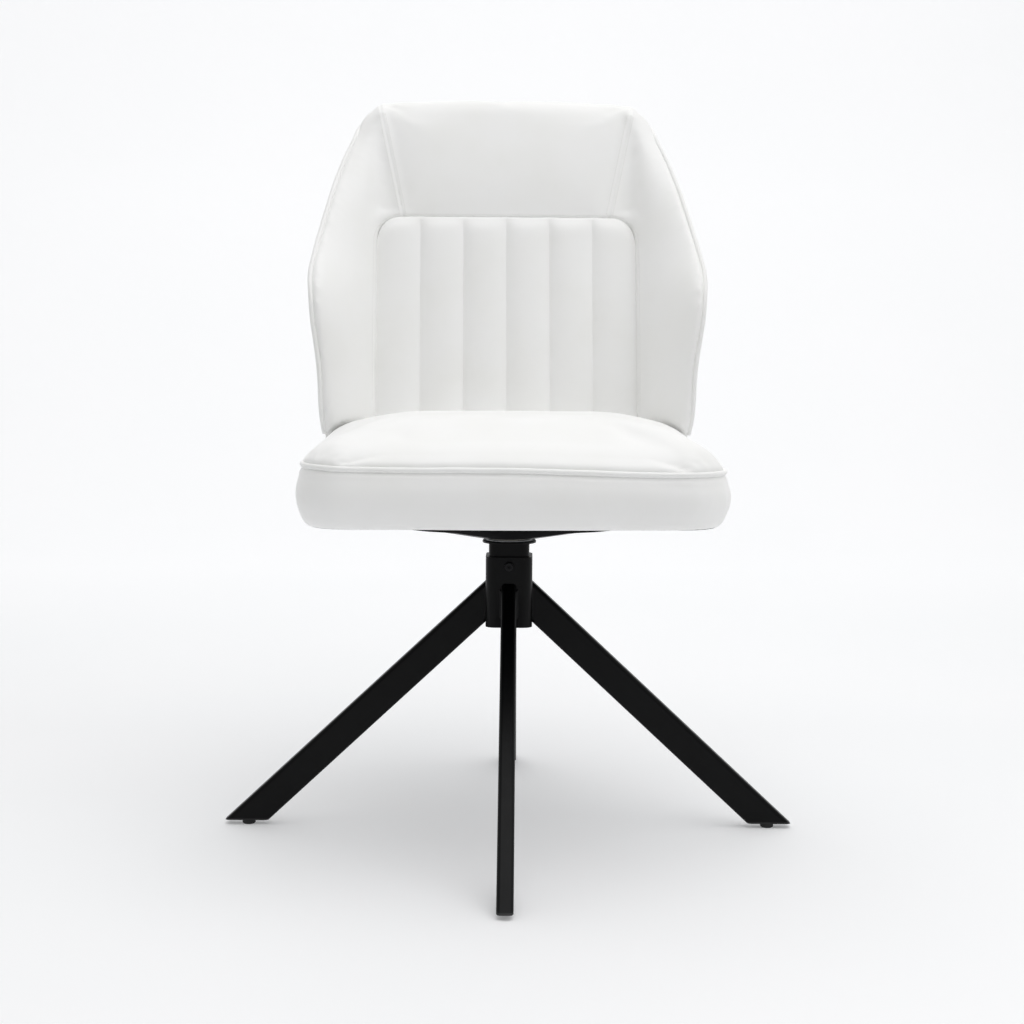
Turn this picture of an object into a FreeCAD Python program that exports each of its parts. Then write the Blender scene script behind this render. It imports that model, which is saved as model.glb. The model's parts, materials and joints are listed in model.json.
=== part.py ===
import FreeCAD, Part
import math
import os
import re

import Sketcher

# Swivel dining chair: an upholstered seat and a winged, channelled back on a square steel
# column with four splayed legs. Millimetres, +Z up, the sitter faces -Y. The origin is on
# the floor, on the swivel axis. Seat and back pieces are drawn in the seat's own frame,
# whose height zero is the underside of the seat, and are then lifted onto the swivel.

Vector = FreeCAD.Vector
Rotation = FreeCAD.Rotation
Placement = FreeCAD.Placement

SIZES = {
    # the base as it stands in the photograph, turned a little from the seat, in degrees
    "base_turn": -2,
    # feet and legs
    "foot_height": 5.6,
    "foot_diameter": 16,
    "foot_edge_round": 1.2,
    "foot_stem_diameter": 5,
    "foot_stem_length": 9,
    "foot_from_tip": 28,
    "leg_reach": 342.8,
    "leg_root_rise": 53,
    "leg_depth": 36,
    "leg_width": 18,
    "leg_corner": 4.5,
    "leg_wall": 1.5,
    "cap_thickness": 2,
    "cap_insert": 12,
    "weld_leg": 2.5,
    # hub and column
    "hub_bottom": 247,
    "hub_height": 84,
    "hub_width": 55.5,
    "hub_corner": 12,
    "hub_wall": 3.5,
    "plug_depth": 5,
    "plug_boss_drop": 3,
    "plug_boss_diameter": 26,
    "column_clearance": 0.2,
    "column_insertion": 68,
    "column_rise": 15.5,
    "column_wall": 2,
    "flange_diameter": 64,
    "flange_thickness": 3,
    "flange_bore": 23,
    "clamp_screw_drop": 10.5,
    "clamp_screw_diameter": 6,
    "clamp_screw_length": 14,
    "clamp_head_diameter": 9.8,
    "clamp_head_height": 5,
    "clamp_socket_width": 4,
    "clamp_socket_depth": 2.5,
    "rivet_nut_diameter": 9,
    "rivet_nut_length": 7,
    "rivet_nut_flange": 1,
    # swivel
    "running_clearance": 0.05,
    "spindle_diameter": 20,
    "spindle_head_diameter": 42,
    "spindle_head_thickness": 3,
    "spindle_thread_diameter": 16,
    "bush_length": 20,
    "race_outer_diameter": 56,
    "race_inner_diameter": 28,
    "race_thickness": 0.8,
    "ball_diameter": 2.6,
    "ball_circle_diameter": 42,
    "ball_clearance": 0.03,
    "cage_thickness": 1.2,
    "cage_width": 8,
    "ball_count": 12,
    "lock_washer_diameter": 32,
    "lock_washer_thickness": 2,
    "lock_nut_width": 24,
    "lock_nut_height": 10,
    # pressed spider under the seat
    "spider_height": 31.3,
    "spider_sheet": 2.5,
    "spider_arm_width": 46,
    "spider_reach": 190,
    "spider_dish_radius": 42,
    "spider_knee_radius": 116,
    "spider_knee_rise": 14,
    "spider_toe_radius": 156,
    "spider_toe_rise": 18.8,
    "spider_crotch_round": 24,
    "spider_tip_round": 12,
    "spider_bolt_radius": 179,
    # bolts and tee nuts
    "bolt_diameter": 8,
    "bolt_head_width": 13,
    "bolt_head_height": 5,
    "tee_flange_diameter": 19,
    "tee_flange_thickness": 1.2,
    "tee_barrel_diameter": 10,
    "tee_barrel_length": 8,
    # seat
    "seat_half_width": 239,
    "seat_front": 232,
    "seat_back": 172,
    "seat_corner": 62,
    "lining_thickness": 1,
    "lining_inset": 30,
    "board_thickness": 12,
    "board_inset": 14,
    "hem_roll_run": 22,
    "hem_roll_rise": 30,
    "seat_seam_height": 63,
    "seat_seam_draw": 8,
    "crown_inset": 5,
    "piping_diameter": 6,
    "crown_rise": 49,
    "crown_run": 145,
    # back
    "back_lean": 12,
    "back_front": 172.3,
    "lean_start": 95,
    "back_thickness": 62,
    "wing_bottom": 78,
    "wing_bottom_half_width": 234,
    "wing_bottom_share": 0.4,
    "waist_height": 265,
    "waist_half_width": 250,
    "wing_reach": 108,
    "wing_bow": 21.5,
    "wing_edge_radius": 16,
    "wing_pad_swell": 7,
    "shoulder_height": 477,
    "shoulder_half_width": 204,
    "top_height": 518,
    "top_half_width": 156,
    "top_depth": 18,
    "rear_taper": 20,
    "rear_flare": 18,
    "rear_corner": 40,
    "rear_swell": 8,
    "cover_thickness": 17,
    "cover_top": 489,
    "tail_bottom": 11,
    "tail_half_width": 204,
    "tail_setback": 1.5,
    # channelled panel
    "panel_half_width": 168,
    "panel_top": 360,
    "panel_bottom": 40,
    "panel_thickness": 28,
    "panel_corner": 30,
    "channel_count": 6,
    "channel_swell": 8,
    "top_pad_half_width": 134,
    "top_pad_flare": 34,
    # frame board inside the back, and its two angle brackets
    "frame_thickness": 12,
    "frame_top": 468,
    "frame_foot_half_width": 140,
    "frame_waist_half_width": 186,
    "frame_top_half_width": 146,
    "bracket_offset": 55,
    "bracket_width": 30,
    "bracket_thickness": 4,
    "bracket_front": 106,
    "bracket_top": 82,
    "bracket_bolt_inset": 14,
    "bracket_bolt_pitch": 26,
}

# Heights and places that several pieces share, as formulas of the sheet's names
HUB_TOP = "hub_bottom + hub_height"
FLANGE_TOP = f"{HUB_TOP} + column_rise + flange_thickness"
FLANGE_UNDERSIDE = f"{HUB_TOP} + column_rise"
COLUMN_BOTTOM = f"{HUB_TOP} - column_insertion"
COLUMN_WIDTH = "(hub_width - 2 * hub_wall - 2 * column_clearance)"
COLUMN_CORNER = "(hub_corner - hub_wall)"
COLUMN_BORE = f"({COLUMN_WIDTH} - 2 * column_wall)"
UPPER_RACE = f"{FLANGE_TOP} + race_thickness + ball_diameter + 2 * ball_clearance"
SPIDER_BOTTOM = f"{UPPER_RACE} + race_thickness"
SEAT_UNDERSIDE = f"{SPIDER_BOTTOM} + spider_height"
LEG_ROOT = "(hub_bottom + leg_root_rise)"
LEG_RUN = "(leg_reach - hub_width / 2)"
LEG_FALL = f"({LEG_ROOT} - foot_height)"
LEG_LENGTH = f"sqrt({LEG_RUN} ^ 2 + {LEG_FALL} ^ 2)"

LEG_TURNS = {"right": 0, "rear": 90, "left": 180, "front": 270}

doc = FreeCAD.newDocument("swivel_chair")
sheet = doc.addObject("Spreadsheet::Sheet", "sizes")
for row, (word, number) in enumerate(SIZES.items(), start=1):
    sheet.set(f"A{row}", word)
    sheet.set(f"B{row}", str(number))
    sheet.setAlias(f"B{row}", word)
doc.recompute()

parts = {}


def size(word):
    """One size as the sheet holds it."""
    return float(sheet.get(word))


def formula(text):
    """A formula in the sheet's words, with each word pointed at its cell."""
    return re.sub(r"[a-z]\w*", lambda word: "sizes." + word[0] if word[0] in SIZES else word[0], text)


def bind(item, **formulas):
    """Bind properties of one object; two underscores stand for the dot in a name."""
    for name, text in formulas.items():
        item.setExpression(name.replace("__", "."), formula(text))
    return item


def keep(item, label):
    """Count an object as a finished piece under its node name."""
    item.Label = label
    parts[label] = item
    return item


def turn_to(item, degrees):
    """Turn a piece about the swivel axis and leave its height as it is."""
    item.Placement = Placement(item.Placement.Base, Rotation(Vector(0, 0, 1), degrees))
    return item


def keep_base(item, label):
    """Count a piece of the base, which stands turned from the seat."""
    return keep(turn_to(item, size("base_turn")), label)


# Sketches, pads and turned pieces

def new_body(name):
    return doc.addObject("PartDesign::Body", name)


def body_plane(body, role):
    return next(item for item in body.Origin.OriginFeatures if item.Role == role)


def new_sketch(body, role, height=None):
    sketch = body.newObject("Sketcher::SketchObject", body.Name + "_sketch")
    sketch.AttachmentSupport = [(body_plane(body, role), "")]
    sketch.MapMode = "FlatFace"
    if height is not None:
        bind(sketch, AttachmentOffset__Base__z=height)
    return sketch


def pin_point(sketch, edge, index, across, up):
    """Tie the start of one edge to two formulas of the sheet."""
    start = sketch.Geometry[edge].StartPoint
    for kind, text, value, axis in (("DistanceX", across, start.x, -2), ("DistanceY", up, start.y, -1)):
        if text == "0":
            sketch.addConstraint(Sketcher.Constraint("PointOnObject", edge, 1, axis))
            continue
        number = sketch.addConstraint(Sketcher.Constraint(kind, -1, 1, edge, 1, value))
        name = f"{kind[-1].lower()}{index}"
        sketch.renameConstraint(number, name)
        sketch.setExpression("Constraints." + name, formula(text))


def polygon_sketch(body, role, points, height=None):
    """A closed straight-sided profile whose corners are bound to the sheet."""
    sketch = new_sketch(body, role, height)
    count = len(points)
    start = [Vector(50 * math.cos(2 * math.pi * i / count), 50 * math.sin(2 * math.pi * i / count), 0)
             for i in range(count)]
    for i in range(count):
        sketch.addGeometry(Part.LineSegment(start[i], start[(i + 1) % count]))
    joins = [Sketcher.Constraint("Coincident", i, 2, (i + 1) % count, 1) for i in range(count)]
    sketch.addConstraint(joins)
    for i, (across, up) in enumerate(points):
        pin_point(sketch, i, i, across, up)
    return sketch


def circle_sketch(body, role, diameter, across="0", up="0", height=None):
    sketch = new_sketch(body, role, height)
    sketch.addGeometry(Part.Circle(Vector(10, 10, 0), Vector(0, 0, 1), 3))
    for kind, text, axis in (("DistanceX", across, -2), ("DistanceY", up, -1)):
        if text == "0":
            sketch.addConstraint(Sketcher.Constraint("PointOnObject", 0, 3, axis))
            continue
        number = sketch.addConstraint(Sketcher.Constraint(kind, -1, 1, 0, 3, 10))
        sketch.renameConstraint(number, "centre_" + kind[-1].lower())
        sketch.setExpression("Constraints.centre_" + kind[-1].lower(), formula(text))
    number = sketch.addConstraint(Sketcher.Constraint("Diameter", 0, 6))
    sketch.renameConstraint(number, "diameter")
    sketch.setExpression("Constraints.diameter", formula(diameter))
    return sketch


def pad(body, sketch, length, both_ways=False):
    feature = body.newObject("PartDesign::Pad", body.Name + "_pad")
    feature.Profile = sketch
    if both_ways:
        feature.SideType = "Symmetric"
    bind(feature, Length=length)
    return feature


def pocket_through(body, sketch):
    """Cut a profile through the whole piece, both ways from its plane."""
    feature = body.newObject("PartDesign::Pocket", body.Name + "_pocket")
    feature.Profile = sketch
    feature.Type = "ThroughAll"
    feature.SideType = "Symmetric"
    return feature


def turned(label, points, height=None):
    """A piece turned about Z from its half profile of radius and height."""
    body = new_body(label)
    sketch = polygon_sketch(body, "XZ_Plane", points)
    feature = body.newObject("PartDesign::Revolution", label + "_turn")
    feature.Profile = sketch
    feature.ReferenceAxis = (sketch, ["V_Axis"])
    feature.Angle = 360
    if height is not None:
        bind(body, Placement__Base__z=height)
    return body


def round_edges(body, feature, radius, wanted):
    """Fillet the edges that the test function picks."""
    doc.recompute()
    names = [f"Edge{i}" for i, edge in enumerate(feature.Shape.Edges, start=1) if wanted(edge)]
    fillet = body.newObject("PartDesign::Fillet", body.Name + "_round")
    fillet.Base = (feature, names)
    bind(fillet, Radius=radius)
    return fillet


def is_straight(edge):
    return edge.Curve.TypeId == "Part::GeomLine"


def is_upright(edge):
    return is_straight(edge) and abs(edge.tangentAt(edge.FirstParameter).z) > 0.999


def rectangle(half_across, half_up):
    return [(f"-({half_across})", f"-({half_up})"), (half_across, f"-({half_up})"),
            (half_across, half_up), (f"-({half_across})", half_up)]


def square_bar(body, width, corner, bottom, length):
    """An upright bar of rounded square section."""
    half = f"({width}) / 2"
    bar = pad(body, polygon_sketch(body, "XY_Plane", rectangle(half, half), bottom), length)
    return round_edges(body, bar, corner, is_upright)


def join(kind, name, base, tool):
    """A boolean of two objects: Cut, Common or Fuse."""
    item = doc.addObject("Part::" + kind, name)
    item.Base = base
    item.Tool = tool
    return item


def square_tube(label, width, corner, wall, bottom, length, drill):
    """An upright tube of rounded square section, drilled front and rear for the clamp screws."""
    outside = new_body(label + "_outside")
    square_bar(outside, width, corner, bottom, length)
    bore = new_body(label + "_bore")
    square_bar(bore, f"({width}) - 2 * {wall}", f"({corner}) - {wall}", bottom, length)
    hole = doc.addObject("Part::Cylinder", label + "_screw_holes")
    hole.Placement = Placement(Vector(), Rotation(Vector(1, 0, 0), 90))
    bind(hole, Radius=f"{drill} / 2", Height="2 * hub_width", Placement__Base__y="hub_width",
         Placement__Base__z=f"{HUB_TOP} - clamp_screw_drop")
    return keep_base(join("Cut", label, join("Cut", label + "_wall", outside, bore), hole), label)


def column_width():
    return size("hub_width") - 2 * size("hub_wall") - 2 * size("column_clearance")


def compound(label, shapes, height=None, finish=keep):
    """Like pieces as one node of separate solids."""
    item = doc.addObject("Part::Feature", label)
    item.Shape = Part.makeCompound(shapes)
    if height is not None:
        bind(item, Placement__Base__z=height)
    return finish(item, label)


# Legs, their caps and feet

def leg_side(skin):
    """Side view of a leg from the hub's face to its level cut, drawn in by the skin."""
    upper = f"({LEG_ROOT} - ({skin}) * {LEG_LENGTH} / {LEG_RUN})"
    depth = f"(leg_depth - 2 * ({skin}))"
    drop = f"{depth} * {LEG_LENGTH} / {LEG_RUN}"
    along = f"{depth} * {LEG_LENGTH} / {LEG_FALL}"
    tip = f"(hub_width / 2 + ({upper} - foot_height) * {LEG_RUN} / {LEG_FALL})"
    return [("hub_width / 2", upper), ("hub_width / 2", f"{upper} - {drop}"),
            (f"{tip} - {along}", "foot_height"), (tip, "foot_height")]


def slope_edges(edge):
    """The long edges of a leg, which run down its slope."""
    direction = edge.tangentAt(edge.FirstParameter) if is_straight(edge) else Vector()
    return abs(direction.x) > 0.3 and abs(direction.z) > 0.3


def leg_bar(body, side, width, corner):
    bar = pad(body, polygon_sketch(body, "XZ_Plane", side), width, both_ways=True)
    return round_edges(body, bar, corner, slope_edges)


def foot_slab(name, bottom, height):
    """A level slice across the foot of a leg."""
    return bind(doc.addObject("Part::Box", name), Length="leg_reach", Width="2 * leg_width",
                Height=height, Placement__Base__x="leg_width", Placement__Base__y="-leg_width",
                Placement__Base__z=bottom)


def make_leg(name, degrees):
    """A mitred rectangular tube, and the moulded cap that plugs its level cut."""
    outside = new_body(f"leg_{name}_outside")
    leg_bar(outside, leg_side("0"), "leg_width", "leg_corner")
    bore = new_body(f"leg_{name}_bore")
    leg_bar(bore, leg_side("leg_wall"), "leg_width - 2 * leg_wall", "leg_corner - leg_wall")
    plate_slab = foot_slab(f"leg_{name}_plate_slab", "foot_height", "cap_thickness")
    tube = join("Cut", f"leg_{name}_tube", outside, bore)
    leg = join("Cut", f"leg_{name}", tube, plate_slab)
    keep(turn_to(leg, degrees), f"leg_{name}")

    stub_slab = foot_slab(f"leg_{name}_stub_slab", "foot_height + cap_thickness", "cap_insert")
    plate = join("Common", f"cap_{name}_plate", outside, plate_slab)
    stub = join("Common", f"cap_{name}_stub", bore, stub_slab)
    whole = join("Fuse", f"cap_{name}_whole", plate, stub)
    hole = bind(doc.addObject("Part::Cylinder", f"cap_{name}_hole"), Radius="foot_stem_diameter / 2",
                Height="foot_stem_length", Placement__Base__x="leg_reach - foot_from_tip",
                Placement__Base__z="foot_height")
    cap = join("Cut", f"leg_cap_{name}", whole, hole)
    keep(turn_to(cap, degrees), f"leg_cap_{name}")


def make_foot(name, degrees):
    """A turned glide with a stem that presses into the cap."""
    body = turned(f"foot_{name}", [
        ("0", "0"), ("foot_diameter / 2 - foot_edge_round", "0"),
        ("foot_diameter / 2", "foot_edge_round"), ("foot_diameter / 2", "foot_height"),
        ("foot_stem_diameter / 2", "foot_height"),
        ("foot_stem_diameter / 2", "foot_height + foot_stem_length"),
        ("0", "foot_height + foot_stem_length")])
    turn = math.radians(degrees)
    bind(body, Placement__Base__x=f"(leg_reach - foot_from_tip) * {math.cos(turn):.6f}",
         Placement__Base__y=f"(leg_reach - foot_from_tip) * {math.sin(turn):.6f}")
    return keep(body, f"foot_{name}")


def make_welds():
    """Fillet welds up both sides of each leg, where it meets the hub's face."""
    face = size("hub_width") / 2
    side = size("leg_width") / 2
    bead = size("weld_leg")
    run = size("leg_reach") - face
    root = size("hub_bottom") + size("leg_root_rise")
    fall = root - size("foot_height")
    drop = size("leg_depth") * math.hypot(run, fall) / run
    corner = size("leg_corner")
    bottom = root - drop + 2 * corner
    height = drop - 3 * corner
    beads = []
    for degrees in LEG_TURNS.values():
        for sign in (-1, 1):
            corners = [Vector(face, sign * side, bottom), Vector(face + bead, sign * side, bottom - bead),
                       Vector(face, sign * (side + bead), bottom)]
            prism = Part.Face(Part.makePolygon(corners + corners[:1])).extrude(
                Vector(0, 0, height - bead))
            beads.append(prism.rotated(Vector(), Vector(0, 0, 1), degrees))
    return compound("leg_welds", beads, finish=keep_base)


# Hub, column and swivel

def make_hub():
    return square_tube("hub_tube", "hub_width", "hub_corner", "hub_wall", "hub_bottom", "hub_height",
                       "clamp_screw_diameter")


def make_hub_plug():
    """A moulded plug that closes the hub from below, with a round boss under its rim."""
    body = new_body("hub_plug")
    square_bar(body, "hub_width - 2 * hub_wall", f"{COLUMN_CORNER}", "hub_bottom", "plug_depth")
    boss = circle_sketch(body, "XY_Plane", "plug_boss_diameter", height="hub_bottom - plug_boss_drop")
    pad(body, boss, "plug_boss_drop")
    return keep_base(body, "hub_plug")


def make_column():
    return square_tube("column_tube", COLUMN_WIDTH, COLUMN_CORNER, "column_wall", COLUMN_BOTTOM,
                       "column_insertion + column_rise", "rivet_nut_diameter")


def make_column_flange():
    return keep(turned("column_flange", [
        ("flange_bore / 2", "0"), ("flange_diameter / 2", "0"),
        ("flange_diameter / 2", "flange_thickness - 1"), ("flange_diameter / 2 - 1", "flange_thickness"),
        ("flange_bore / 2", "flange_thickness")], FLANGE_UNDERSIDE), "column_flange")


def make_bush(label, bottom):
    """A moulded bush: rounded square outside, a running bore for the spindle."""
    body = new_body(label)
    square_bar(body, COLUMN_BORE, f"{COLUMN_CORNER} - column_wall", bottom, "bush_length")
    pocket_through(body, circle_sketch(body, "XY_Plane", "spindle_diameter + 2 * running_clearance",
                                       height=bottom))
    return keep_base(body, label)


LOWER_BUSH = f"{COLUMN_BOTTOM} + 5"
UPPER_BUSH = f"{FLANGE_UNDERSIDE} - bush_length"
WASHER_TOP = f"({LOWER_BUSH} - 2 * running_clearance)"


def make_clamp_screws():
    """Socket head screws through the hub into rivet nuts in the column, front and rear."""
    head = size("clamp_head_diameter") / 2
    tall = size("clamp_head_height")
    face = size("hub_width") / 2
    across_corners = size("clamp_socket_width") / math.sqrt(3)
    screws = []
    nuts = []
    column_face = column_width() / 2
    inside = column_face - size("column_wall")
    for degrees in (0, 180):
        body = Part.makeCylinder(head, tall, Vector(0, -face, 0), Vector(0, -1, 0))
        body = body.makeFillet(0.8, [edge for edge in body.Edges if edge.BoundBox.YMax < -face - tall + 0.1])
        shank = Part.makeCylinder(size("clamp_screw_diameter") / 2, size("clamp_screw_length"),
                                  Vector(0, -face, 0), Vector(0, 1, 0))
        ring = [Vector(across_corners * math.cos(math.radians(60 * i)), -face - tall,
                       across_corners * math.sin(math.radians(60 * i))) for i in range(7)]
        socket = Part.Face(Part.makePolygon(ring)).extrude(Vector(0, size("clamp_socket_depth"), 0))
        screws.append(body.fuse(shank).cut(socket).rotated(Vector(), Vector(0, 0, 1), degrees))
        barrel = Part.makeCylinder(size("rivet_nut_diameter") / 2, size("rivet_nut_length"),
                                   Vector(0, -column_face, 0), Vector(0, 1, 0))
        collar = Part.makeCylinder(size("rivet_nut_diameter") / 2 + size("rivet_nut_flange"),
                                   size("rivet_nut_flange") * 2, Vector(0, -inside, 0), Vector(0, 1, 0))
        bore = Part.makeCylinder(size("clamp_screw_diameter") / 2, 3 * size("rivet_nut_length"),
                                 Vector(0, -face, 0), Vector(0, 1, 0))
        nuts.append(barrel.fuse(collar).cut(bore).rotated(Vector(), Vector(0, 0, 1), degrees))
    lift = f"{HUB_TOP} - clamp_screw_drop"
    compound("clamp_screws", screws, lift, keep_base)
    compound("rivet_nuts", nuts, lift, keep_base)


def make_spindle():
    """The turning shaft: its head sits in the spider's dish and its threaded foot takes the nut."""
    foot = f"{WASHER_TOP} - lock_washer_thickness - lock_nut_height - 2"
    shoulder = f"{WASHER_TOP}"
    floor = f"{SPIDER_BOTTOM} + spider_sheet"
    return keep(turned("spindle", [
        ("0", foot), ("spindle_thread_diameter / 2 - 1", foot),
        ("spindle_thread_diameter / 2", f"{foot} + 1"), ("spindle_thread_diameter / 2", shoulder),
        ("spindle_diameter / 2", shoulder), ("spindle_diameter / 2", floor),
        ("spindle_head_diameter / 2", floor),
        ("spindle_head_diameter / 2", f"{floor} + spindle_head_thickness"),
        ("0", f"{floor} + spindle_head_thickness")]), "spindle")


def make_lock_washer():
    return keep(turned("lock_washer", [
        ("spindle_thread_diameter / 2", "-lock_washer_thickness"),
        ("lock_washer_diameter / 2", "-lock_washer_thickness"), ("lock_washer_diameter / 2", "0"),
        ("spindle_thread_diameter / 2", "0")], WASHER_TOP), "lock_washer")


def make_lock_nut():
    prism = bind(doc.addObject("Part::Prism", "lock_nut_hexagon"),
                 Circumradius="lock_nut_width / sqrt(3)", Height="lock_nut_height")
    hole = bind(doc.addObject("Part::Cylinder", "lock_nut_hole"),
                Radius="spindle_thread_diameter / 2", Height="lock_nut_height")
    nut = doc.addObject("Part::Cut", "lock_nut")
    nut.Base = prism
    nut.Tool = hole
    bind(nut, Placement__Base__z=f"{WASHER_TOP} - lock_washer_thickness - lock_nut_height")
    return keep(nut, "lock_nut")


def make_race(label, bottom):
    return keep(turned(label, [
        ("race_inner_diameter / 2", "0"), ("race_outer_diameter / 2", "0"),
        ("race_outer_diameter / 2", "race_thickness"), ("race_inner_diameter / 2", "race_thickness")],
        bottom), label)


def make_ball_cage():
    """A flat ring pierced for the balls, which stand through it with a little room."""
    circle = size("ball_circle_diameter") / 2
    half = size("cage_width") / 2
    thick = size("cage_thickness")
    ring = Part.makeCylinder(circle + half, thick).cut(Part.makeCylinder(circle - half, thick))
    balls = []
    middle = size("ball_diameter") / 2 + size("ball_clearance")
    for i in range(int(size("ball_count"))):
        turn = 2 * math.pi * i / size("ball_count")
        place = Vector(circle * math.cos(turn), circle * math.sin(turn), 0)
        ring = ring.cut(Part.makeCylinder(size("ball_diameter") / 2 + 2 * size("running_clearance"),
                                          thick, place))
        balls.append(Part.makeSphere(size("ball_diameter") / 2, place + Vector(0, 0, middle)))
    ring.translate(Vector(0, 0, middle - thick / 2))
    compound("ball_cage", [ring], f"{FLANGE_TOP} + race_thickness")
    compound("bearing_balls", balls, f"{FLANGE_TOP} + race_thickness")


# Spider: one pressed sheet, a dished middle with four channel arms that rise to the seat

def cross_points(half_width, reach):
    """A cross of four equal arms, as twelve corners."""
    w, r = half_width, reach
    return [(r, f"-({w})"), (r, w), (w, w), (w, r), (f"-({w})", r), (f"-({w})", w),
            (f"-({r})", w), (f"-({r})", f"-({w})"), (f"-({w})", f"-({w})"), (f"-({w})", f"-({r})"),
            (w, f"-({r})"), (w, f"-({w})")]


def pressed_cross(name, half_width, reach, floor, slope_lift, toe, tip_round, crotch_round):
    """A cross whose underside climbs from the dish to the toes."""
    body = new_body(name)
    cross = pad(body, polygon_sketch(body, "XY_Plane", cross_points(half_width, reach), floor),
                f"spider_height - ({floor})")
    rounded = round_edges(body, cross, crotch_round,
                          lambda edge: is_upright(edge) and near_axis(edge))
    rounded = round_edges(body, rounded, tip_round,
                          lambda edge: is_upright(edge) and at_tip(edge))
    below = "-20"
    beyond = "spider_reach + 40"
    under = polygon_sketch(body, "XZ_Plane", [
        ("spider_dish_radius", slope_lift), ("spider_knee_radius", f"spider_knee_rise + {slope_lift}"),
        ("spider_toe_radius", f"spider_toe_rise + {slope_lift}"), (toe[0], toe[1]),
        (beyond, toe[1]), (beyond, below), ("spider_dish_radius", below)])
    groove = body.newObject("PartDesign::Groove", name + "_underside")
    groove.Profile = under
    groove.ReferenceAxis = (under, ["V_Axis"])
    groove.Angle = 360
    return body


def near_axis(edge):
    point = edge.valueAt(edge.FirstParameter)
    return math.hypot(point.x, point.y) < size("spider_arm_width")


def at_tip(edge):
    point = edge.valueAt(edge.FirstParameter)
    return math.hypot(point.x, point.y) > size("spider_toe_radius") - 5


def make_spider():
    outer = pressed_cross("spider_outside", "spider_arm_width / 2", "spider_reach", "0", "0",
                          ("spider_toe_radius + 6", "spider_height - spider_sheet"),
                          "spider_tip_round", "spider_crotch_round")
    inner = pressed_cross("spider_hollow", "spider_arm_width / 2 - spider_sheet",
                          "spider_toe_radius - 1", "spider_sheet", "spider_sheet",
                          ("spider_toe_radius + 6", "spider_height + spider_sheet"),
                          "spider_tip_round - spider_sheet", "spider_crotch_round + spider_sheet")
    shell = doc.addObject("Part::Cut", "spider_shell")
    shell.Base = outer
    shell.Tool = inner
    holes = [bind(doc.addObject("Part::Cylinder", "spider_eye"), Radius="spindle_diameter / 2",
                  Height="spider_sheet * 4", Placement__Base__z="-spider_sheet")]
    for i in range(4):
        turn = math.radians(90 * i)
        holes.append(bind(doc.addObject("Part::Cylinder", f"spider_bolt_hole_{i}"),
                          Radius="bolt_diameter / 2", Height="spider_height * 2",
                          Placement__Base__x=f"spider_bolt_radius * {math.cos(turn):.6f}",
                          Placement__Base__y=f"spider_bolt_radius * {math.sin(turn):.6f}"))
    drills = doc.addObject("Part::MultiFuse", "spider_drills")
    drills.Shapes = holes
    spider = doc.addObject("Part::Cut", "seat_spider")
    spider.Base = shell
    spider.Tool = drills
    turn_to(spider, 45)
    bind(spider, Placement__Base__z=SPIDER_BOTTOM)
    return keep(spider, "seat_spider")


# Bolts and tee nuts, drawn on the Z axis with the joint face at height zero

def bolt_shape(length):
    """A hexagon head below the joint face and a plain shank above it."""
    radius = size("bolt_head_width") / math.sqrt(3)
    corners = [Vector(radius * math.cos(math.radians(60 * i)), radius * math.sin(math.radians(60 * i)),
                      -size("bolt_head_height")) for i in range(7)]
    head = Part.Face(Part.makePolygon(corners)).extrude(Vector(0, 0, size("bolt_head_height")))
    cone = Part.makeCone(radius - 1, radius + size("bolt_head_height"), size("bolt_head_height") + 1,
                         Vector(0, 0, -size("bolt_head_height")))
    shank = Part.makeCylinder(size("bolt_diameter") / 2, length)
    return head.common(cone).fuse(shank)


def tee_nut_shape(face):
    """A tee nut let into the far face of a board, its barrel pointing back at the bolt."""
    flange = size("tee_flange_thickness")
    barrel = size("tee_barrel_length")
    nut = Part.makeCylinder(size("tee_flange_diameter") / 2, flange, Vector(0, 0, face - flange))
    nut = nut.fuse(Part.makeCylinder(size("tee_barrel_diameter") / 2, barrel - flange,
                                     Vector(0, 0, face - barrel)))
    return nut.cut(Part.makeCylinder(size("bolt_diameter") / 2, barrel, Vector(0, 0, face - barrel)))


def tee_hole(face, board):
    """What the board loses to one bolt and its tee nut."""
    flange = size("tee_flange_thickness")
    barrel = size("tee_barrel_length")
    hole = Part.makeCylinder(size("bolt_diameter") / 2, board, Vector(0, 0, face - board))
    hole = hole.fuse(Part.makeCylinder(size("tee_barrel_diameter") / 2, barrel, Vector(0, 0, face - barrel)))
    return hole.fuse(Part.makeCylinder(size("tee_flange_diameter") / 2, flange,
                                       Vector(0, 0, face - flange)))


def spider_bolt_places():
    reach = size("spider_bolt_radius")
    return [Vector(reach * math.cos(math.radians(45 + 90 * i)), reach * math.sin(math.radians(45 + 90 * i)), 0)
            for i in range(4)]


def bracket_bolt_places():
    """Across and forward places of the bolts through the brackets' level legs."""
    first = size("bracket_front") + size("bracket_bolt_inset")
    return [Vector(side * size("bracket_offset"), first + step * size("bracket_bolt_pitch"), 0)
            for side in (-1, 1) for step in (0, 1)]


def moved(shape, place):
    copy = shape.copy()
    copy.translate(place)
    return copy


# Seat: plywood board, lining, crowned cushion and its piping

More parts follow.
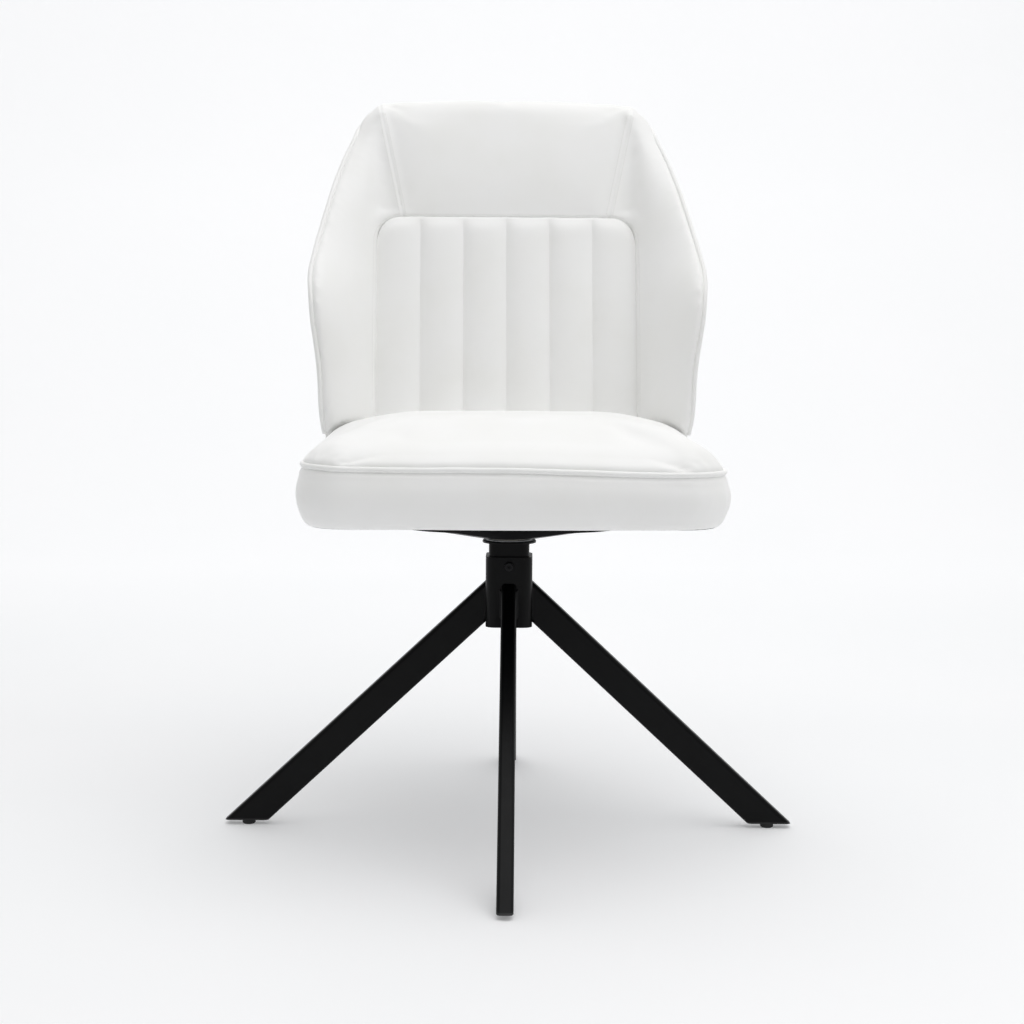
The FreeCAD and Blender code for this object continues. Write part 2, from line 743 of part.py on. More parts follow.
def rounded_rectangle(inset, height, back_inset=None):
    """The seat's outline drawn in by an inset, at one height, as lines and quarter arcs."""
    back_inset = inset if back_inset is None else back_inset
    right = size("seat_half_width") - inset
    front = -size("seat_front") + inset
    rear = size("seat_back") - back_inset
    radius = max(size("seat_corner") - inset, 0.35 * size("seat_corner"))
    slant = radius * (1 - math.sqrt(0.5))
    edges = []
    corners = [(right, front, -1, 1), (right, rear, -1, -1), (-right, rear, 1, -1), (-right, front, 1, 1)]
    for i, (x, y, into_x, into_y) in enumerate(corners):
        before = Vector(x + into_x * radius, y, height)
        after = Vector(x, y + into_y * radius, height)
        if i % 2:
            before, after = after, before
        middle = Vector(x + into_x * slant, y + into_y * slant, height)
        edges.append((before, middle, after))
    wire = []
    for i, (before, middle, after) in enumerate(edges):
        wire.append(Part.Arc(before, middle, after).toShape())
        wire.append(Part.LineSegment(after, edges[(i + 1) % 4][0]).toShape())
    return Part.Wire(wire)


def cushion_levels():
    """Height, inset and rear inset of each level of the seat cushion, from the hem to the crown."""
    hem = size("lining_thickness")
    run = size("hem_roll_run")
    rise = size("hem_roll_rise")
    seam = size("seat_seam_height")
    draw = size("seat_seam_draw")
    levels = []
    for degrees in (0, 25, 50, 70, 90):
        turn = math.radians(degrees)
        roll = run * (1 - math.sin(turn))
        levels.append((hem + rise * (1 - math.cos(turn)), roll, roll / 2))
    band = seam - hem - rise
    for share, pull in ((0.5, 0.15), (0.8, 0.55), (1, 1)):
        levels.append((hem + rise + share * band, pull * draw, 0))
    for share in (0.1, 0.22, 0.36, 0.5, 0.62, 0.73, 0.82, 0.89, 0.94, 0.98, 1.0):
        crown = size("crown_run") * (1 - math.sqrt(1 - share ** 2)) ** 1.4
        pinch = (draw - size("crown_inset")) * max(1 - share / 0.22, 0) ** 2
        levels.append((seam + share * size("crown_rise"), size("crown_inset") + crown + pinch, crown))
    return levels


def cushion_block():
    """The whole cushion, flat at the rear where the back stands against it."""
    return Part.makeLoft([rounded_rectangle(inset, height, rear_inset)
                          for height, inset, rear_inset in cushion_levels()], True, True)


def board_block():
    hem = size("lining_thickness")
    outline = rounded_rectangle(size("board_inset") + size("hem_roll_run") / 2, hem, size("board_inset"))
    return Part.Face(outline).extrude(Vector(0, 0, size("board_thickness")))


def seat_piping_tube():
    """One closed welt round the seat, drawn in at the rear where the back stands against it."""
    radius = size("piping_diameter") / 2
    path = rounded_rectangle(size("seat_seam_draw"), size("seat_seam_height"), radius + 0.5)
    start = path.Edges[1]
    middle = start.valueAt((start.FirstParameter + start.LastParameter) / 2)
    half = [Part.LineSegment(middle, start.Vertexes[1].Point).toShape()] + path.Edges[2:] + path.Edges[:1]
    half.append(Part.LineSegment(start.Vertexes[0].Point, middle).toShape())
    route = Part.Wire(half)
    ring = Part.Wire(Part.makeCircle(radius, middle, start.tangentAt(start.FirstParameter)))
    return route.makePipeShell([ring], True, False)


def make_seat(cushion, tube):
    board_top = size("lining_thickness") + size("board_thickness")
    board = board_block()
    places = spider_bolt_places() + bracket_bolt_places()
    for place in places:
        board = board.cut(moved(tee_hole(board_top, size("board_thickness")), place))
    lining = Part.Face(rounded_rectangle(size("lining_inset"), 0, size("board_inset"))).extrude(
        Vector(0, 0, size("lining_thickness")))
    for place in places:
        lining = lining.cut(Part.makeCylinder(size("bolt_diameter") / 2, size("lining_thickness"), place))
    nuts = [moved(tee_nut_shape(board_top), place) for place in places]
    for label, shapes in (("seat_board", [board]), ("seat_lining", [lining]), ("seat_tee_nuts", nuts),
                          ("seat_cushion", [cushion.cut(board_block()).cut(tube)]),
                          ("seat_piping", [tube])):
        soft_or_board(label, shapes)
    sheet_gap = size("spider_sheet")
    spider_bolt = bolt_shape(sheet_gap + size("lining_thickness") + size("board_thickness") - 0.5)
    compound("spider_bolts", [moved(spider_bolt, place - Vector(0, 0, sheet_gap))
                              for place in spider_bolt_places()], SEAT_UNDERSIDE)


def soft_or_board(label, shapes):
    """A piece drawn in the seat's frame, lifted to the seat's underside."""
    item = doc.addObject("Part::Feature", label)
    item.Shape = shapes[0] if len(shapes) == 1 else Part.makeCompound(shapes)
    bind(item, Placement__Base__z=SEAT_UNDERSIDE)
    return keep(item, label)


# Back: level sections of lines and arcs, lofted from the wing ends to the rolled top

def lean_at(height):
    """How far the leaning middle line of the back has moved rearward at one height."""
    return (height - size("lean_start")) * math.tan(math.radians(size("back_lean")))


def back_section_sizes(height):
    """Half width, front, wing crest and rear of the back at one height."""
    waist = size("waist_height")
    shoulder = size("shoulder_height")
    front = size("back_front") + max(lean_at(height), 0)
    rear = size("back_front") + lean_at(height) + size("back_thickness")
    if height <= waist:
        share = (waist - height) / (waist - size("wing_bottom"))
        half = size("waist_half_width") + (size("wing_bottom_half_width") - size("waist_half_width")) * share
        reach = size("wing_reach") * (1 - (1 - size("wing_bottom_share")) * share ** 1.7)
    else:
        share = min((height - waist) / (shoulder - waist), 1)
        half = size("waist_half_width") + (size("shoulder_half_width") - size("waist_half_width")) * share
        half += size("wing_bow") * math.sqrt(share) * (1 - share)
        reach = size("wing_reach") * (1 - share) ** 1.1
    if height > shoulder:
        rise = (height - shoulder) / (size("top_height") - shoulder)
        roll = 1 - math.sqrt(max(1 - rise ** 2, 0))
        half += (size("top_half_width") - half) * roll
        draw = (size("back_thickness") - size("top_depth")) * roll
        front += draw * 0.5
        rear -= draw * 0.5
    return half, front, front - reach, rear, reach


def rear_points(half, front, rear, reach, height):
    """Rear side corner and rear edge points of the outer cover."""
    flare = size("rear_flare") * reach / size("wing_reach")
    side = half - size("rear_taper") - flare
    depth = rear - front
    return (Vector(side, rear - 0.35 * depth, height),
            Vector(side - 0.35 * size("rear_corner"), rear - 0.08 * depth, height),
            Vector(side - size("rear_corner"), rear, height))


def mirrored(points):
    return [Vector(-point.x, point.y, point.z) for point in points]


def back_section(height):
    """One level section of the whole back: panel, wings, rolled edges and rear."""
    half, front, crest, rear, reach = back_section_sizes(height)
    edge = size("wing_edge_radius")
    narrow = min(1.0, half / size("shoulder_half_width"))
    panel = Vector(size("panel_half_width") * narrow, front, height)
    tip = Vector(half - edge, crest, height)
    swell = size("wing_pad_swell")
    middle = (panel + tip) * 0.5 + Vector(-0.8 * swell, -0.6 * swell, 0)
    slant = edge * (1 - math.sqrt(0.5))
    roll = Vector(half - slant, crest + slant, height)
    side = Vector(half, crest + edge, height)
    corner, turn, back = rear_points(half, front, rear, reach, height)
    flank = (side + corner) * 0.5 + Vector(0.5 * swell, 0, 0)
    arcs = [(panel, middle, tip), (tip, roll, side), (side, flank, corner), (corner, turn, back)]
    rear_middle = Vector(0, rear + size("rear_swell"), height)
    edges = [Part.LineSegment(mirrored([panel])[0], panel).toShape()]
    edges += [Part.Arc(*arc).toShape() for arc in arcs]
    edges.append(Part.Arc(back, rear_middle, mirrored([back])[0]).toShape())
    for start, via, end in reversed(arcs):
        left = mirrored([end, via, start])
        edges.append(Part.Arc(*left).toShape())
    return Part.Wire(edges)


def back_heights():
    """Levels at which the back's sections are drawn."""
    bottom, waist = size("wing_bottom"), size("waist_height")
    shoulder, top = size("shoulder_height"), size("top_height")
    lower = [bottom + (waist - bottom) * i / 3 for i in range(3)]
    upper = [waist + (shoulder - waist) * i / 4 for i in range(5)]
    roll = [shoulder + (top - shoulder) * share for share in (0.5, 0.8, 0.95, 1.0)]
    return lower + upper + roll


def tail_section(height):
    """The back below the wings, where it stands behind the seat."""
    front = size("back_front")
    rear = front + lean_at(height) + size("back_thickness") - size("tail_setback")
    side = size("tail_half_width")
    corner = size("rear_corner")
    start = Vector(side, front, height)
    bend = Vector(side, rear - 0.5 * (rear - front), height)
    via = Vector(side - 0.3 * corner, rear - 0.12 * (rear - front), height)
    back = Vector(side - corner, rear, height)
    rear_middle = Vector(0, rear + size("rear_swell"), height)
    edges = [Part.LineSegment(mirrored([start])[0], start).toShape(),
             Part.LineSegment(start, bend).toShape(),
             Part.Arc(bend, via, back).toShape(),
             Part.Arc(back, rear_middle, mirrored([back])[0]).toShape(),
             Part.Arc(*mirrored([back, via, bend])).toShape(),
             Part.LineSegment(*mirrored([bend, start])).toShape()]
    return Part.Wire(edges)


def cover_section(height):
    """What lies behind the seam line at one height, reaching far outside the back."""
    half, front, crest, rear, reach = back_section_sizes(height)
    thick = size("cover_thickness")
    corner = rear_points(half, front, rear, reach, height)[0]
    frame_rear = size("back_front") + lean_at(height) + size("panel_thickness") + size("frame_thickness") \
        / math.cos(math.radians(size("back_lean")))
    outside = 3 * thick
    right = [Vector(half + outside, crest - outside, height), Vector(half - thick, crest + thick, height),
             Vector(corner.x - thick, frame_rear, height)]
    far = [Vector(2 * half, crest + 2 * half, height)]
    points = mirrored(far) + mirrored(right) + right[::-1] + far
    return Part.makePolygon(points + points[:1])


def lean_back(shape):
    """Tip an upright shape about the line where the back starts to lean, and set it there."""
    tipped = shape.rotated(Vector(), Vector(1, 0, 0), -size("back_lean"))
    tipped.translate(Vector(0, size("back_front"), size("lean_start")))
    return tipped


def along_lean(height):
    """Distance along the leaning plane of a height in the seat's frame."""
    return (height - size("lean_start")) / math.cos(math.radians(size("back_lean")))


def channel_panel():
    """The channelled panel: parallel swells between sewn seams, with rounded top corners."""
    half = size("panel_half_width")
    count = int(size("channel_count"))
    pitch = 2 * half / count
    edges = []
    for i in range(count):
        left = -half + i * pitch
        edges.append(Part.Arc(Vector(left, 0, 0), Vector(left + pitch / 2, -size("channel_swell"), 0),
                              Vector(left + pitch, 0, 0)).toShape())
    rear = size("panel_thickness") * math.cos(math.radians(size("back_lean")))
    corners = [Vector(half, 0, 0), Vector(half, rear, 0), Vector(-half, rear, 0), Vector(-half, 0, 0)]
    edges += [Part.LineSegment(a, b).toShape() for a, b in zip(corners, corners[1:])]
    bottom = along_lean(size("panel_bottom"))
    top = along_lean(size("panel_top"))
    block = Part.Face(Part.Wire(edges)).extrude(Vector(0, 0, top - bottom))
    block.translate(Vector(0, 0, bottom))
    return lean_back(block.common(panel_window(bottom, top, -2 * size("channel_swell"), 2 * rear)))


def panel_window(bottom, top, front, rear):
    """The panel's front view, with its rounded top corners, as a deep upright block."""
    half = size("panel_half_width")
    radius = size("panel_corner")
    slant = radius * (1 - math.sqrt(0.5))
    edges = [Part.LineSegment(Vector(-half, front, bottom), Vector(half, front, bottom)).toShape(),
             Part.LineSegment(Vector(half, front, bottom), Vector(half, front, top - radius)).toShape(),
             Part.Arc(Vector(half, front, top - radius), Vector(half - slant, front, top - slant),
                      Vector(half - radius, front, top)).toShape(),
             Part.LineSegment(Vector(half - radius, front, top), Vector(radius - half, front, top)).toShape(),
             Part.Arc(Vector(radius - half, front, top), Vector(slant - half, front, top - slant),
                      Vector(-half, front, top - radius)).toShape(),
             Part.LineSegment(Vector(-half, front, top - radius), Vector(-half, front, bottom)).toShape()]
    return Part.Face(Part.Wire(edges)).extrude(Vector(0, rear - front, 0))


def frame_board():
    """The hexagonal plywood board inside the back."""
    foot = along_lean(size("tail_bottom"))
    waist = along_lean(size("waist_height"))
    top = along_lean(size("frame_top"))
    front = size("panel_thickness") * math.cos(math.radians(size("back_lean")))
    right = [Vector(size("frame_foot_half_width"), front, foot),
             Vector(size("frame_waist_half_width"), front, waist),
             Vector(size("frame_top_half_width"), front, top)]
    points = right + mirrored(right[::-1])
    board = Part.Face(Part.makePolygon(points + points[:1])).extrude(Vector(0, size("frame_thickness"), 0))
    return lean_back(board)


def top_pad_region():
    """Front view of the pad over the panel, between the two slanting seams."""
    low = size("panel_top") - 1.5 * size("panel_corner")
    half = size("top_pad_half_width")
    flare = size("top_pad_flare")
    high = size("top_height") + 20
    slope = flare / (size("top_height") - size("panel_top"))
    corners = [(half, low), (half + slope * (high - size("panel_top")), high)]
    points = [Vector(x, -100, z) for x, z in corners] + [Vector(-x, -100, z) for x, z in corners[::-1]]
    return Part.Face(Part.makePolygon(points + points[:1])).extrude(Vector(0, 600, 0))


def rounded_route(points):
    """Straight runs joined by tangent arcs, as large as the runs allow."""
    edges = []
    start = points[0]
    for before, corner, after in zip(points, points[1:], points[2:]):
        into = (before - corner).normalize()
        away = (after - corner).normalize()
        shorter = min(before.distanceToPoint(corner), after.distanceToPoint(corner))
        cut = 0.45 * shorter
        bisector = (into + away).normalize()
        half_angle = into.getAngle(away) / 2
        radius = cut * math.tan(half_angle)
        centre_distance = cut / math.cos(half_angle)
        first = corner + into * cut
        last = corner + away * cut
        via = corner + bisector * (centre_distance - radius)
        edges.append(Part.LineSegment(start, first).toShape())
        edges.append(Part.Arc(first, via, last).toShape())
        start = last
    edges.append(Part.LineSegment(start, points[-1]).toShape())
    return Part.Wire(edges)


def back_piping_tube():
    """The welt up one wing edge, round behind the top and down the other wing."""
    slant = size("wing_edge_radius") * (1 - math.sqrt(0.5))
    seam = size("cover_top")
    heights = [size("wing_bottom") + 12]
    bottom, waist, shoulder = size("wing_bottom"), size("waist_height"), size("shoulder_height")
    heights += [bottom + (waist - bottom) * share for share in (0.4, 0.75)]
    heights += [waist + (shoulder - waist) * share for share in (0.06, 0.35, 0.65, 0.9)]
    right = []
    for height in heights:
        half, front, crest, rear, reach = back_section_sizes(height)
        right.append(Vector(half - slant, crest + slant, height))
    half, front, crest, rear, reach = back_section_sizes(seam)
    corner, turn, back = rear_points(half, front, rear, reach, seam)
    right += [Vector(half - 1, crest + 1.1 * size("wing_edge_radius"), seam - 2),
              Vector(corner.x + 2, corner.y - 4, seam), Vector(back.x + 8, back.y - 1, seam),
              Vector(0.45 * back.x, rear + 0.8 * size("rear_swell"), seam)]
    route = rounded_route(right + mirrored(right[::-1]))
    first = route.Edges[0]
    ring = Part.Wire(Part.makeCircle(size("piping_diameter") / 2, first.Vertexes[0].Point,
                                     first.tangentAt(first.FirstParameter)))
    return route.makePipeShell([ring], True, False)


def bracket_shape():
    """An angle bracket: one leg under the seat board, one up the face of the frame board."""
    thick = size("bracket_thickness")
    lean = math.radians(size("back_lean"))
    level = thick / math.cos(lean)

    def face(height):
        return size("back_front") + lean_at(height) + size("panel_thickness")

    top = size("bracket_top")
    profile = [Vector(0, size("bracket_front"), -thick), Vector(0, face(-thick), -thick),
               Vector(0, face(top), top), Vector(0, face(top) - level, top),
               Vector(0, face(0) - level, 0), Vector(0, size("bracket_front"), 0)]
    plate = Part.Face(Part.makePolygon(profile + profile[:1])).extrude(Vector(size("bracket_width"), 0, 0))
    plate.translate(Vector(-size("bracket_width") / 2, 0, 0))
    bends = [edge for edge in plate.Edges if abs(edge.Vertexes[0].Point.z + thick) < 0.01
             and abs(edge.Vertexes[1].Point.z + thick) < 0.01
             and min(vertex.Point.y for vertex in edge.Vertexes) > face(-thick) - 0.01]
    return plate.makeFillet(thick * 1.2, bends)


def frame_bolt_heights():
    return [size("bracket_top") - size("bracket_bolt_inset") - step * size("bracket_bolt_pitch")
            for step in (0, 1)]


def through_frame(shape):
    """Copies of a shape drawn on Z, set square to the frame board at each of its bolts."""
    copies = []
    front = size("panel_thickness") * math.cos(math.radians(size("back_lean")))
    for side in (-1, 1):
        for height in frame_bolt_heights():
            copy = shape.rotated(Vector(), Vector(1, 0, 0), -90)
            copy.translate(Vector(side * size("bracket_offset"), front, along_lean(height)))
            copies.append(lean_back(copy))
    return copies


def make_back(cushion, seat_piping):
    heights = back_heights()
    whole = Part.makeLoft([back_section(height) for height in heights], True).cut(cushion)
    behind = Part.makeLoft([cover_section(height) for height in heights[:-4] + [size("cover_top")]],
                           True, True)
    tail = Part.makeLoft([tail_section(size("tail_bottom")), tail_section(size("wing_bottom"))], True, True)
    frame = frame_board()
    panel = channel_panel()
    thick = size("panel_thickness")
    socket_bottom = along_lean(size("panel_bottom") - 60)
    lean_depth = thick * math.cos(math.radians(size("back_lean")))
    socket = lean_back(panel_window(socket_bottom, along_lean(size("panel_top")), -150, lean_depth))
    piping = back_piping_tube()

    brackets = {}
    for name, side in (("left", -1), ("right", 1)):
        brackets[name] = moved(bracket_shape(), Vector(side * size("bracket_offset"), 0, 0))
    plate = size("bracket_thickness")
    length = plate + size("frame_thickness") - 0.5
    back_bolt = moved(bolt_shape(length), Vector(0, 0, -plate))
    back_bolts = through_frame(back_bolt)
    seat_bolt = moved(bolt_shape(plate + size("lining_thickness") + size("board_thickness") - 0.5),
                      Vector(0, 0, -plate))
    seat_bolts = [moved(seat_bolt, place) for place in bracket_bolt_places()]

    drills = through_frame(tee_hole(size("frame_thickness"), size("frame_thickness")))
    tee_nuts = through_frame(tee_nut_shape(size("frame_thickness")))
    shank = Part.makeCylinder(size("bolt_diameter") / 2, 4 * plate, Vector(0, 0, -2 * plate))
    bracket_drills = through_frame(shank) + [moved(shank, place) for place in bracket_bolt_places()]
    steel = list(brackets.values())
    for name, bracket in brackets.items():
        soft_or_board(f"bracket_{name}", [bracket.cut(Part.makeCompound(bracket_drills))])

    cover = whole.common(behind).cut(frame).cut(socket).fuse(tail.cut(frame).cut(socket)).cut(piping)
    pads = whole.cut(behind).cut(frame).cut(socket).cut(piping)
    region = top_pad_region()
    top_pad = pads.common(region)
    wings = pads.cut(region)
    for name, solid in split_sides(wings):
        soft_or_board(f"back_wing_{name}", [solid])
    board = frame.cut(Part.makeCompound(drills))
    panel = panel.cut(cushion).cut(seat_piping).cut(Part.makeCompound(steel + back_bolts))
    soft_or_board("back_frame", [board])
    soft_or_board("back_tee_nuts", tee_nuts)
    soft_or_board("bracket_bolts", seat_bolts + back_bolts)
    soft_or_board("back_panel", [biggest(panel)])
    soft_or_board("back_top_pad", [biggest(top_pad)])
    soft_or_board("back_cover", [biggest(cover)])
    soft_or_board("back_piping", [piping])


def biggest(shape):
    return max(shape.Solids, key=lambda solid: solid.Volume)


def split_sides(shape):
    """The largest solid on each side of the middle."""
    for name, sign in (("left", -1), ("right", 1)):
        yield name, max((solid for solid in shape.Solids if sign * solid.CenterOfMass.x > 0),
                        key=lambda solid: solid.Volume)


def build():
    make_hub()
    make_hub_plug()
    for name, degrees in LEG_TURNS.items():
        make_leg(name, degrees + size("base_turn"))
        make_foot(name, degrees + size("base_turn"))
    make_welds()
    make_column()
    make_column_flange()
    make_clamp_screws()
    make_bush("lower_bush", LOWER_BUSH)
    make_bush("upper_bush", UPPER_BUSH)
    make_race("lower_race", FLANGE_TOP)
    make_race("upper_race", UPPER_RACE)
    make_ball_cage()
    make_spindle()
    make_lock_washer()
    make_lock_nut()
    make_spider()
    cushion = cushion_block()
    seat_piping = seat_piping_tube()
    make_seat(cushion, seat_piping)
    make_back(cushion, seat_piping)


def check():
    """Stop before writing if anything failed."""
    for item in doc.Objects:
        for state in ("Invalid", "Error"):
            if state in item.State:
                raise RuntimeError(f"{item.Label}: {item.State}")
    for label, item in parts.items():
        if item.Shape.isNull() or not item.Shape.isValid():
            raise RuntimeError(f"{label}: no valid shape")


build()
doc.recompute()
check()
os.makedirs("parts", exist_ok=True)
for label, item in parts.items():
    item.Shape.exportStep(f"parts/{label}.step")
    box = item.Shape.BoundBox
    print(f"{label:16} solids {len(item.Shape.Solids):2} volume {item.Shape.Volume / 1000:9.1f} cm3 "
          f"x {box.XMin:7.1f} {box.XMax:7.1f} y {box.YMin:7.1f} {box.YMax:7.1f} "
          f"z {box.ZMin:7.1f} {box.ZMax:7.1f}")
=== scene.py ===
"""Swivel dining chair: the looks of the white upholstery and the black steel base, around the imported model.

Metres, +Z up, the sitter faces -Y. The seat's own height zero is the underside of the seat.
"""

import json
import math

import bmesh
import bpy
import numpy as np
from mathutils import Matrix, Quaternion, Vector, noise
from mathutils.bvhtree import BVHTree


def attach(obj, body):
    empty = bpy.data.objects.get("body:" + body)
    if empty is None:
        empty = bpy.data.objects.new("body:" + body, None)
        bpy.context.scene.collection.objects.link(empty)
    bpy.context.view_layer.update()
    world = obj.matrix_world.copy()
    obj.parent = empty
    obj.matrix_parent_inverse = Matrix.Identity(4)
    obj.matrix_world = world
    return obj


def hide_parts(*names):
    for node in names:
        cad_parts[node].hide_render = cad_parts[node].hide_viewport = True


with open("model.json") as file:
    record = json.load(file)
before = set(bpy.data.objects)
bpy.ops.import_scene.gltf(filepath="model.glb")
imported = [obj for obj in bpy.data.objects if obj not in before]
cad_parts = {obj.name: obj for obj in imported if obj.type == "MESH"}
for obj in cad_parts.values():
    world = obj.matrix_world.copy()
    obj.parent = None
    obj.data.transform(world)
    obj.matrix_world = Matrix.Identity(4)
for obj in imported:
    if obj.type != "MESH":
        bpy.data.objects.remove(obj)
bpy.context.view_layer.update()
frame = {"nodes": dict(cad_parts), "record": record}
NODES = frame["nodes"]

bl_info = {
    "name": "Swivel dining chair",
    "version": (1, 0, 0),
    "blender": (4, 5, 0),
    "location": "View3D > Sidebar > Chair",
    "description": "Models and dresses an upholstered swivel dining chair around its construction model",
    "category": "Add Mesh",
}

MM = 0.001
SEAT_Z = 0.38506
LEAN = math.radians(12)
BACK_FRONT = 0.1723
LEAN_START = 0.095

# The seat's outline and the height of its piped seam above the seat's underside
SEAT_HALF_WIDTH = 0.239
SEAT_FRONT = -0.232
SEAT_REAR = 0.172
SEAT_CORNER = 0.062
SEAM_HEIGHT = 0.063
SEAM_DRAW = 0.008
HEM_DROP = 0.0052
HEM_REACH = 0.009
WING_PRESS = 0.006
SHOULDER_DRAW = 0.013
LINING_INSET = 0.017

# The back's levels above the seat's underside
WING_BOTTOM = 0.078
WAIST = 0.265
SHOULDER = 0.477
BACK_TOP = 0.518
PANEL_HALF = 0.168
PANEL_TOP = 0.360
PANEL_BOTTOM = 0.046
PANEL_CORNER = 0.030
CHANNELS = 6
CHANNEL_SWELL = 0.0066
CHANNEL_STEPS = 12
TUCK = 0.003
TOP_PAD_HALF = 0.134
TOP_PAD_FLARE = 0.034


# Colours and nodes

def linear(code):
    """A linear colour from an sRGB hex value."""
    out = []
    for i in (0, 2, 4):
        part = int(code[i:i + 2], 16) / 255
        out.append(part / 12.92 if part <= 0.04045 else ((part + 0.055) / 1.055) ** 2.4)
    return (*out, 1.0)


def add_node(tree, kind, settings=None, **links):
    """Add one shader node, set its values and link its inputs; two underscores stand for a space."""
    node = tree.nodes.new(kind)
    for name, value in (settings or {}).items():
        if name in node.bl_rna.properties:
            setattr(node, name, value)
        else:
            node.inputs[name].default_value = value
    for name, source in links.items():
        tree.links.new(source, node.inputs[name.replace("__", " ")])
    return node


def new_material(name, **values):
    """A material with one principled shader, its constants set on the shader's own sockets."""
    material = bpy.data.materials.new(name)
    material.use_nodes = True
    shader = material.node_tree.nodes["Principled BSDF"]
    for word, value in values.items():
        shader.inputs[word.replace("_", " ")].default_value = value
    return material, material.node_tree, shader


def blend_colours(tree, low, high, factor, start=0.3, end=0.7):
    """Two colours mixed by a pattern."""
    ramp = add_node(tree, "ShaderNodeValToRGB", Fac=factor)
    ramp.color_ramp.elements[0].position = start
    ramp.color_ramp.elements[1].position = end
    ramp.color_ramp.elements[0].color = linear(low)
    ramp.color_ramp.elements[1].color = linear(high)
    return ramp.outputs["Color"]


def spread(tree, factor, low, high):
    """A pattern stretched to a range of values."""
    return add_node(tree, "ShaderNodeMapRange", {"To Min": low, "To Max": high}, Value=factor).outputs["Result"]


def place(tree):
    return add_node(tree, "ShaderNodeTexCoord").outputs["Object"]


def pattern(tree, size_m, detail=2.0, where=None, rough=0.5):
    """Soft noise whose patches are about one size across, in metres."""
    node = add_node(tree, "ShaderNodeTexNoise", {"Scale": 1 / size_m, "Detail": detail, "Roughness": rough},
                    Vector=where or place(tree))
    return node.outputs["Fac"]


def raise_surface(tree, shader, height, strength, distance):
    """Relief from a pattern; a second call adds to the first."""
    bump = add_node(tree, "ShaderNodeBump", {"Strength": strength, "Distance": distance}, Height=height)
    before = shader.inputs["Normal"].links
    if before:
        tree.links.new(before[0].from_socket, bump.inputs["Normal"])
    tree.links.new(bump.outputs["Normal"], shader.inputs["Normal"])


def coated_fabric(name, colour, shade):
    """Polyurethane-coated upholstery fabric, embossed with a fine pebble grain: a soft broken gloss."""
    material, tree, shader = new_material(name, Specular_IOR_Level=0.42, Sheen_Weight=0.06,
                                          Sheen_Roughness=0.5, Coat_Weight=0.06, Coat_Roughness=0.35)
    tree.links.new(blend_colours(tree, shade, colour, pattern(tree, 0.07), 0.25, 0.6),
                   shader.inputs["Base Color"])
    # pebbles 1.1 mm across, drawn half as large again as the real ones so that they show
    pebbles = add_node(tree, "ShaderNodeTexVoronoi", {"Scale": 1 / 0.0017, "Randomness": 0.9},
                       Vector=place(tree))
    creases = pattern(tree, 0.011, 3.0)
    tree.links.new(spread(tree, creases, 0.40, 0.54), shader.inputs["Roughness"])
    raise_surface(tree, shader, pebbles.outputs["Distance"], 0.10, 0.00035)
    raise_surface(tree, shader, creases, 0.05, 0.0012)
    return material


def powder_coat(name, colour, shade):
    """Satin black powder coat baked on mild steel: a faint orange peel breaks up the gloss."""
    material, tree, shader = new_material(name, Specular_IOR_Level=0.15)
    tree.links.new(blend_colours(tree, shade, colour, pattern(tree, 0.03)), shader.inputs["Base Color"])
    peel = pattern(tree, 0.0014, 1.0)
    tree.links.new(spread(tree, pattern(tree, 0.012, 3.0), 0.33, 0.44), shader.inputs["Roughness"])
    raise_surface(tree, shader, peel, 0.12, 0.0002)
    return material


def moulded_plastic(name, colour, shade, gloss):
    """Injection-moulded plastic with a spark-eroded matt texture."""
    material, tree, shader = new_material(name, Specular_IOR_Level=0.45)
    tree.links.new(blend_colours(tree, shade, colour, pattern(tree, 0.02)), shader.inputs["Base Color"])
    grain = pattern(tree, 0.0006, 2.0)
    tree.links.new(spread(tree, grain, gloss, gloss + 0.12), shader.inputs["Roughness"])
    raise_surface(tree, shader, grain, 0.2, 0.0001)
    return material


def plated_steel(name, colour, shade, rough):
    """Zinc-plated or ground steel: cool metal whose gloss varies in small patches."""
    material, tree, shader = new_material(name, Metallic=1.0)
    tree.links.new(blend_colours(tree, shade, colour, pattern(tree, 0.004, 3.0)), shader.inputs["Base Color"])
    tree.links.new(spread(tree, pattern(tree, 0.0015, 2.0), rough, rough + 0.15), shader.inputs["Roughness"])
    raise_surface(tree, shader, pattern(tree, 0.0004, 1.0), 0.08, 0.00005)
    return material


def birch_plywood(name):
    """Rotary-cut birch plywood: straight pale grain, darker glue lines on the cut edges."""
    material, tree, shader = new_material(name, Specular_IOR_Level=0.3)
    where = place(tree)
    stretched = add_node(tree, "ShaderNodeMapping", {"Scale": (6.0, 60.0, 60.0)}, Vector=where)
    grain = add_node(tree, "ShaderNodeTexNoise", {"Scale": 3.0, "Detail": 5.0}, Vector=stretched.outputs["Vector"])
    # plies 1.5 mm thick
    plies = add_node(tree, "ShaderNodeTexWave", {"bands_direction": "Z", "Scale": 1 / (2 * math.pi * 0.0015)},
                     Vector=where)
    mixed = add_node(tree, "ShaderNodeMath", {"operation": "MULTIPLY"})
    tree.links.new(grain.outputs["Fac"], mixed.inputs[0])
    tree.links.new(spread(tree, plies.outputs["Fac"], 0.85, 1.0), mixed.inputs[1])
    tree.links.new(blend_colours(tree, "A9845A", "D9BE94", mixed.outputs["Value"]), shader.inputs["Base Color"])
    tree.links.new(spread(tree, grain.outputs["Fac"], 0.5, 0.7), shader.inputs["Roughness"])
    return material


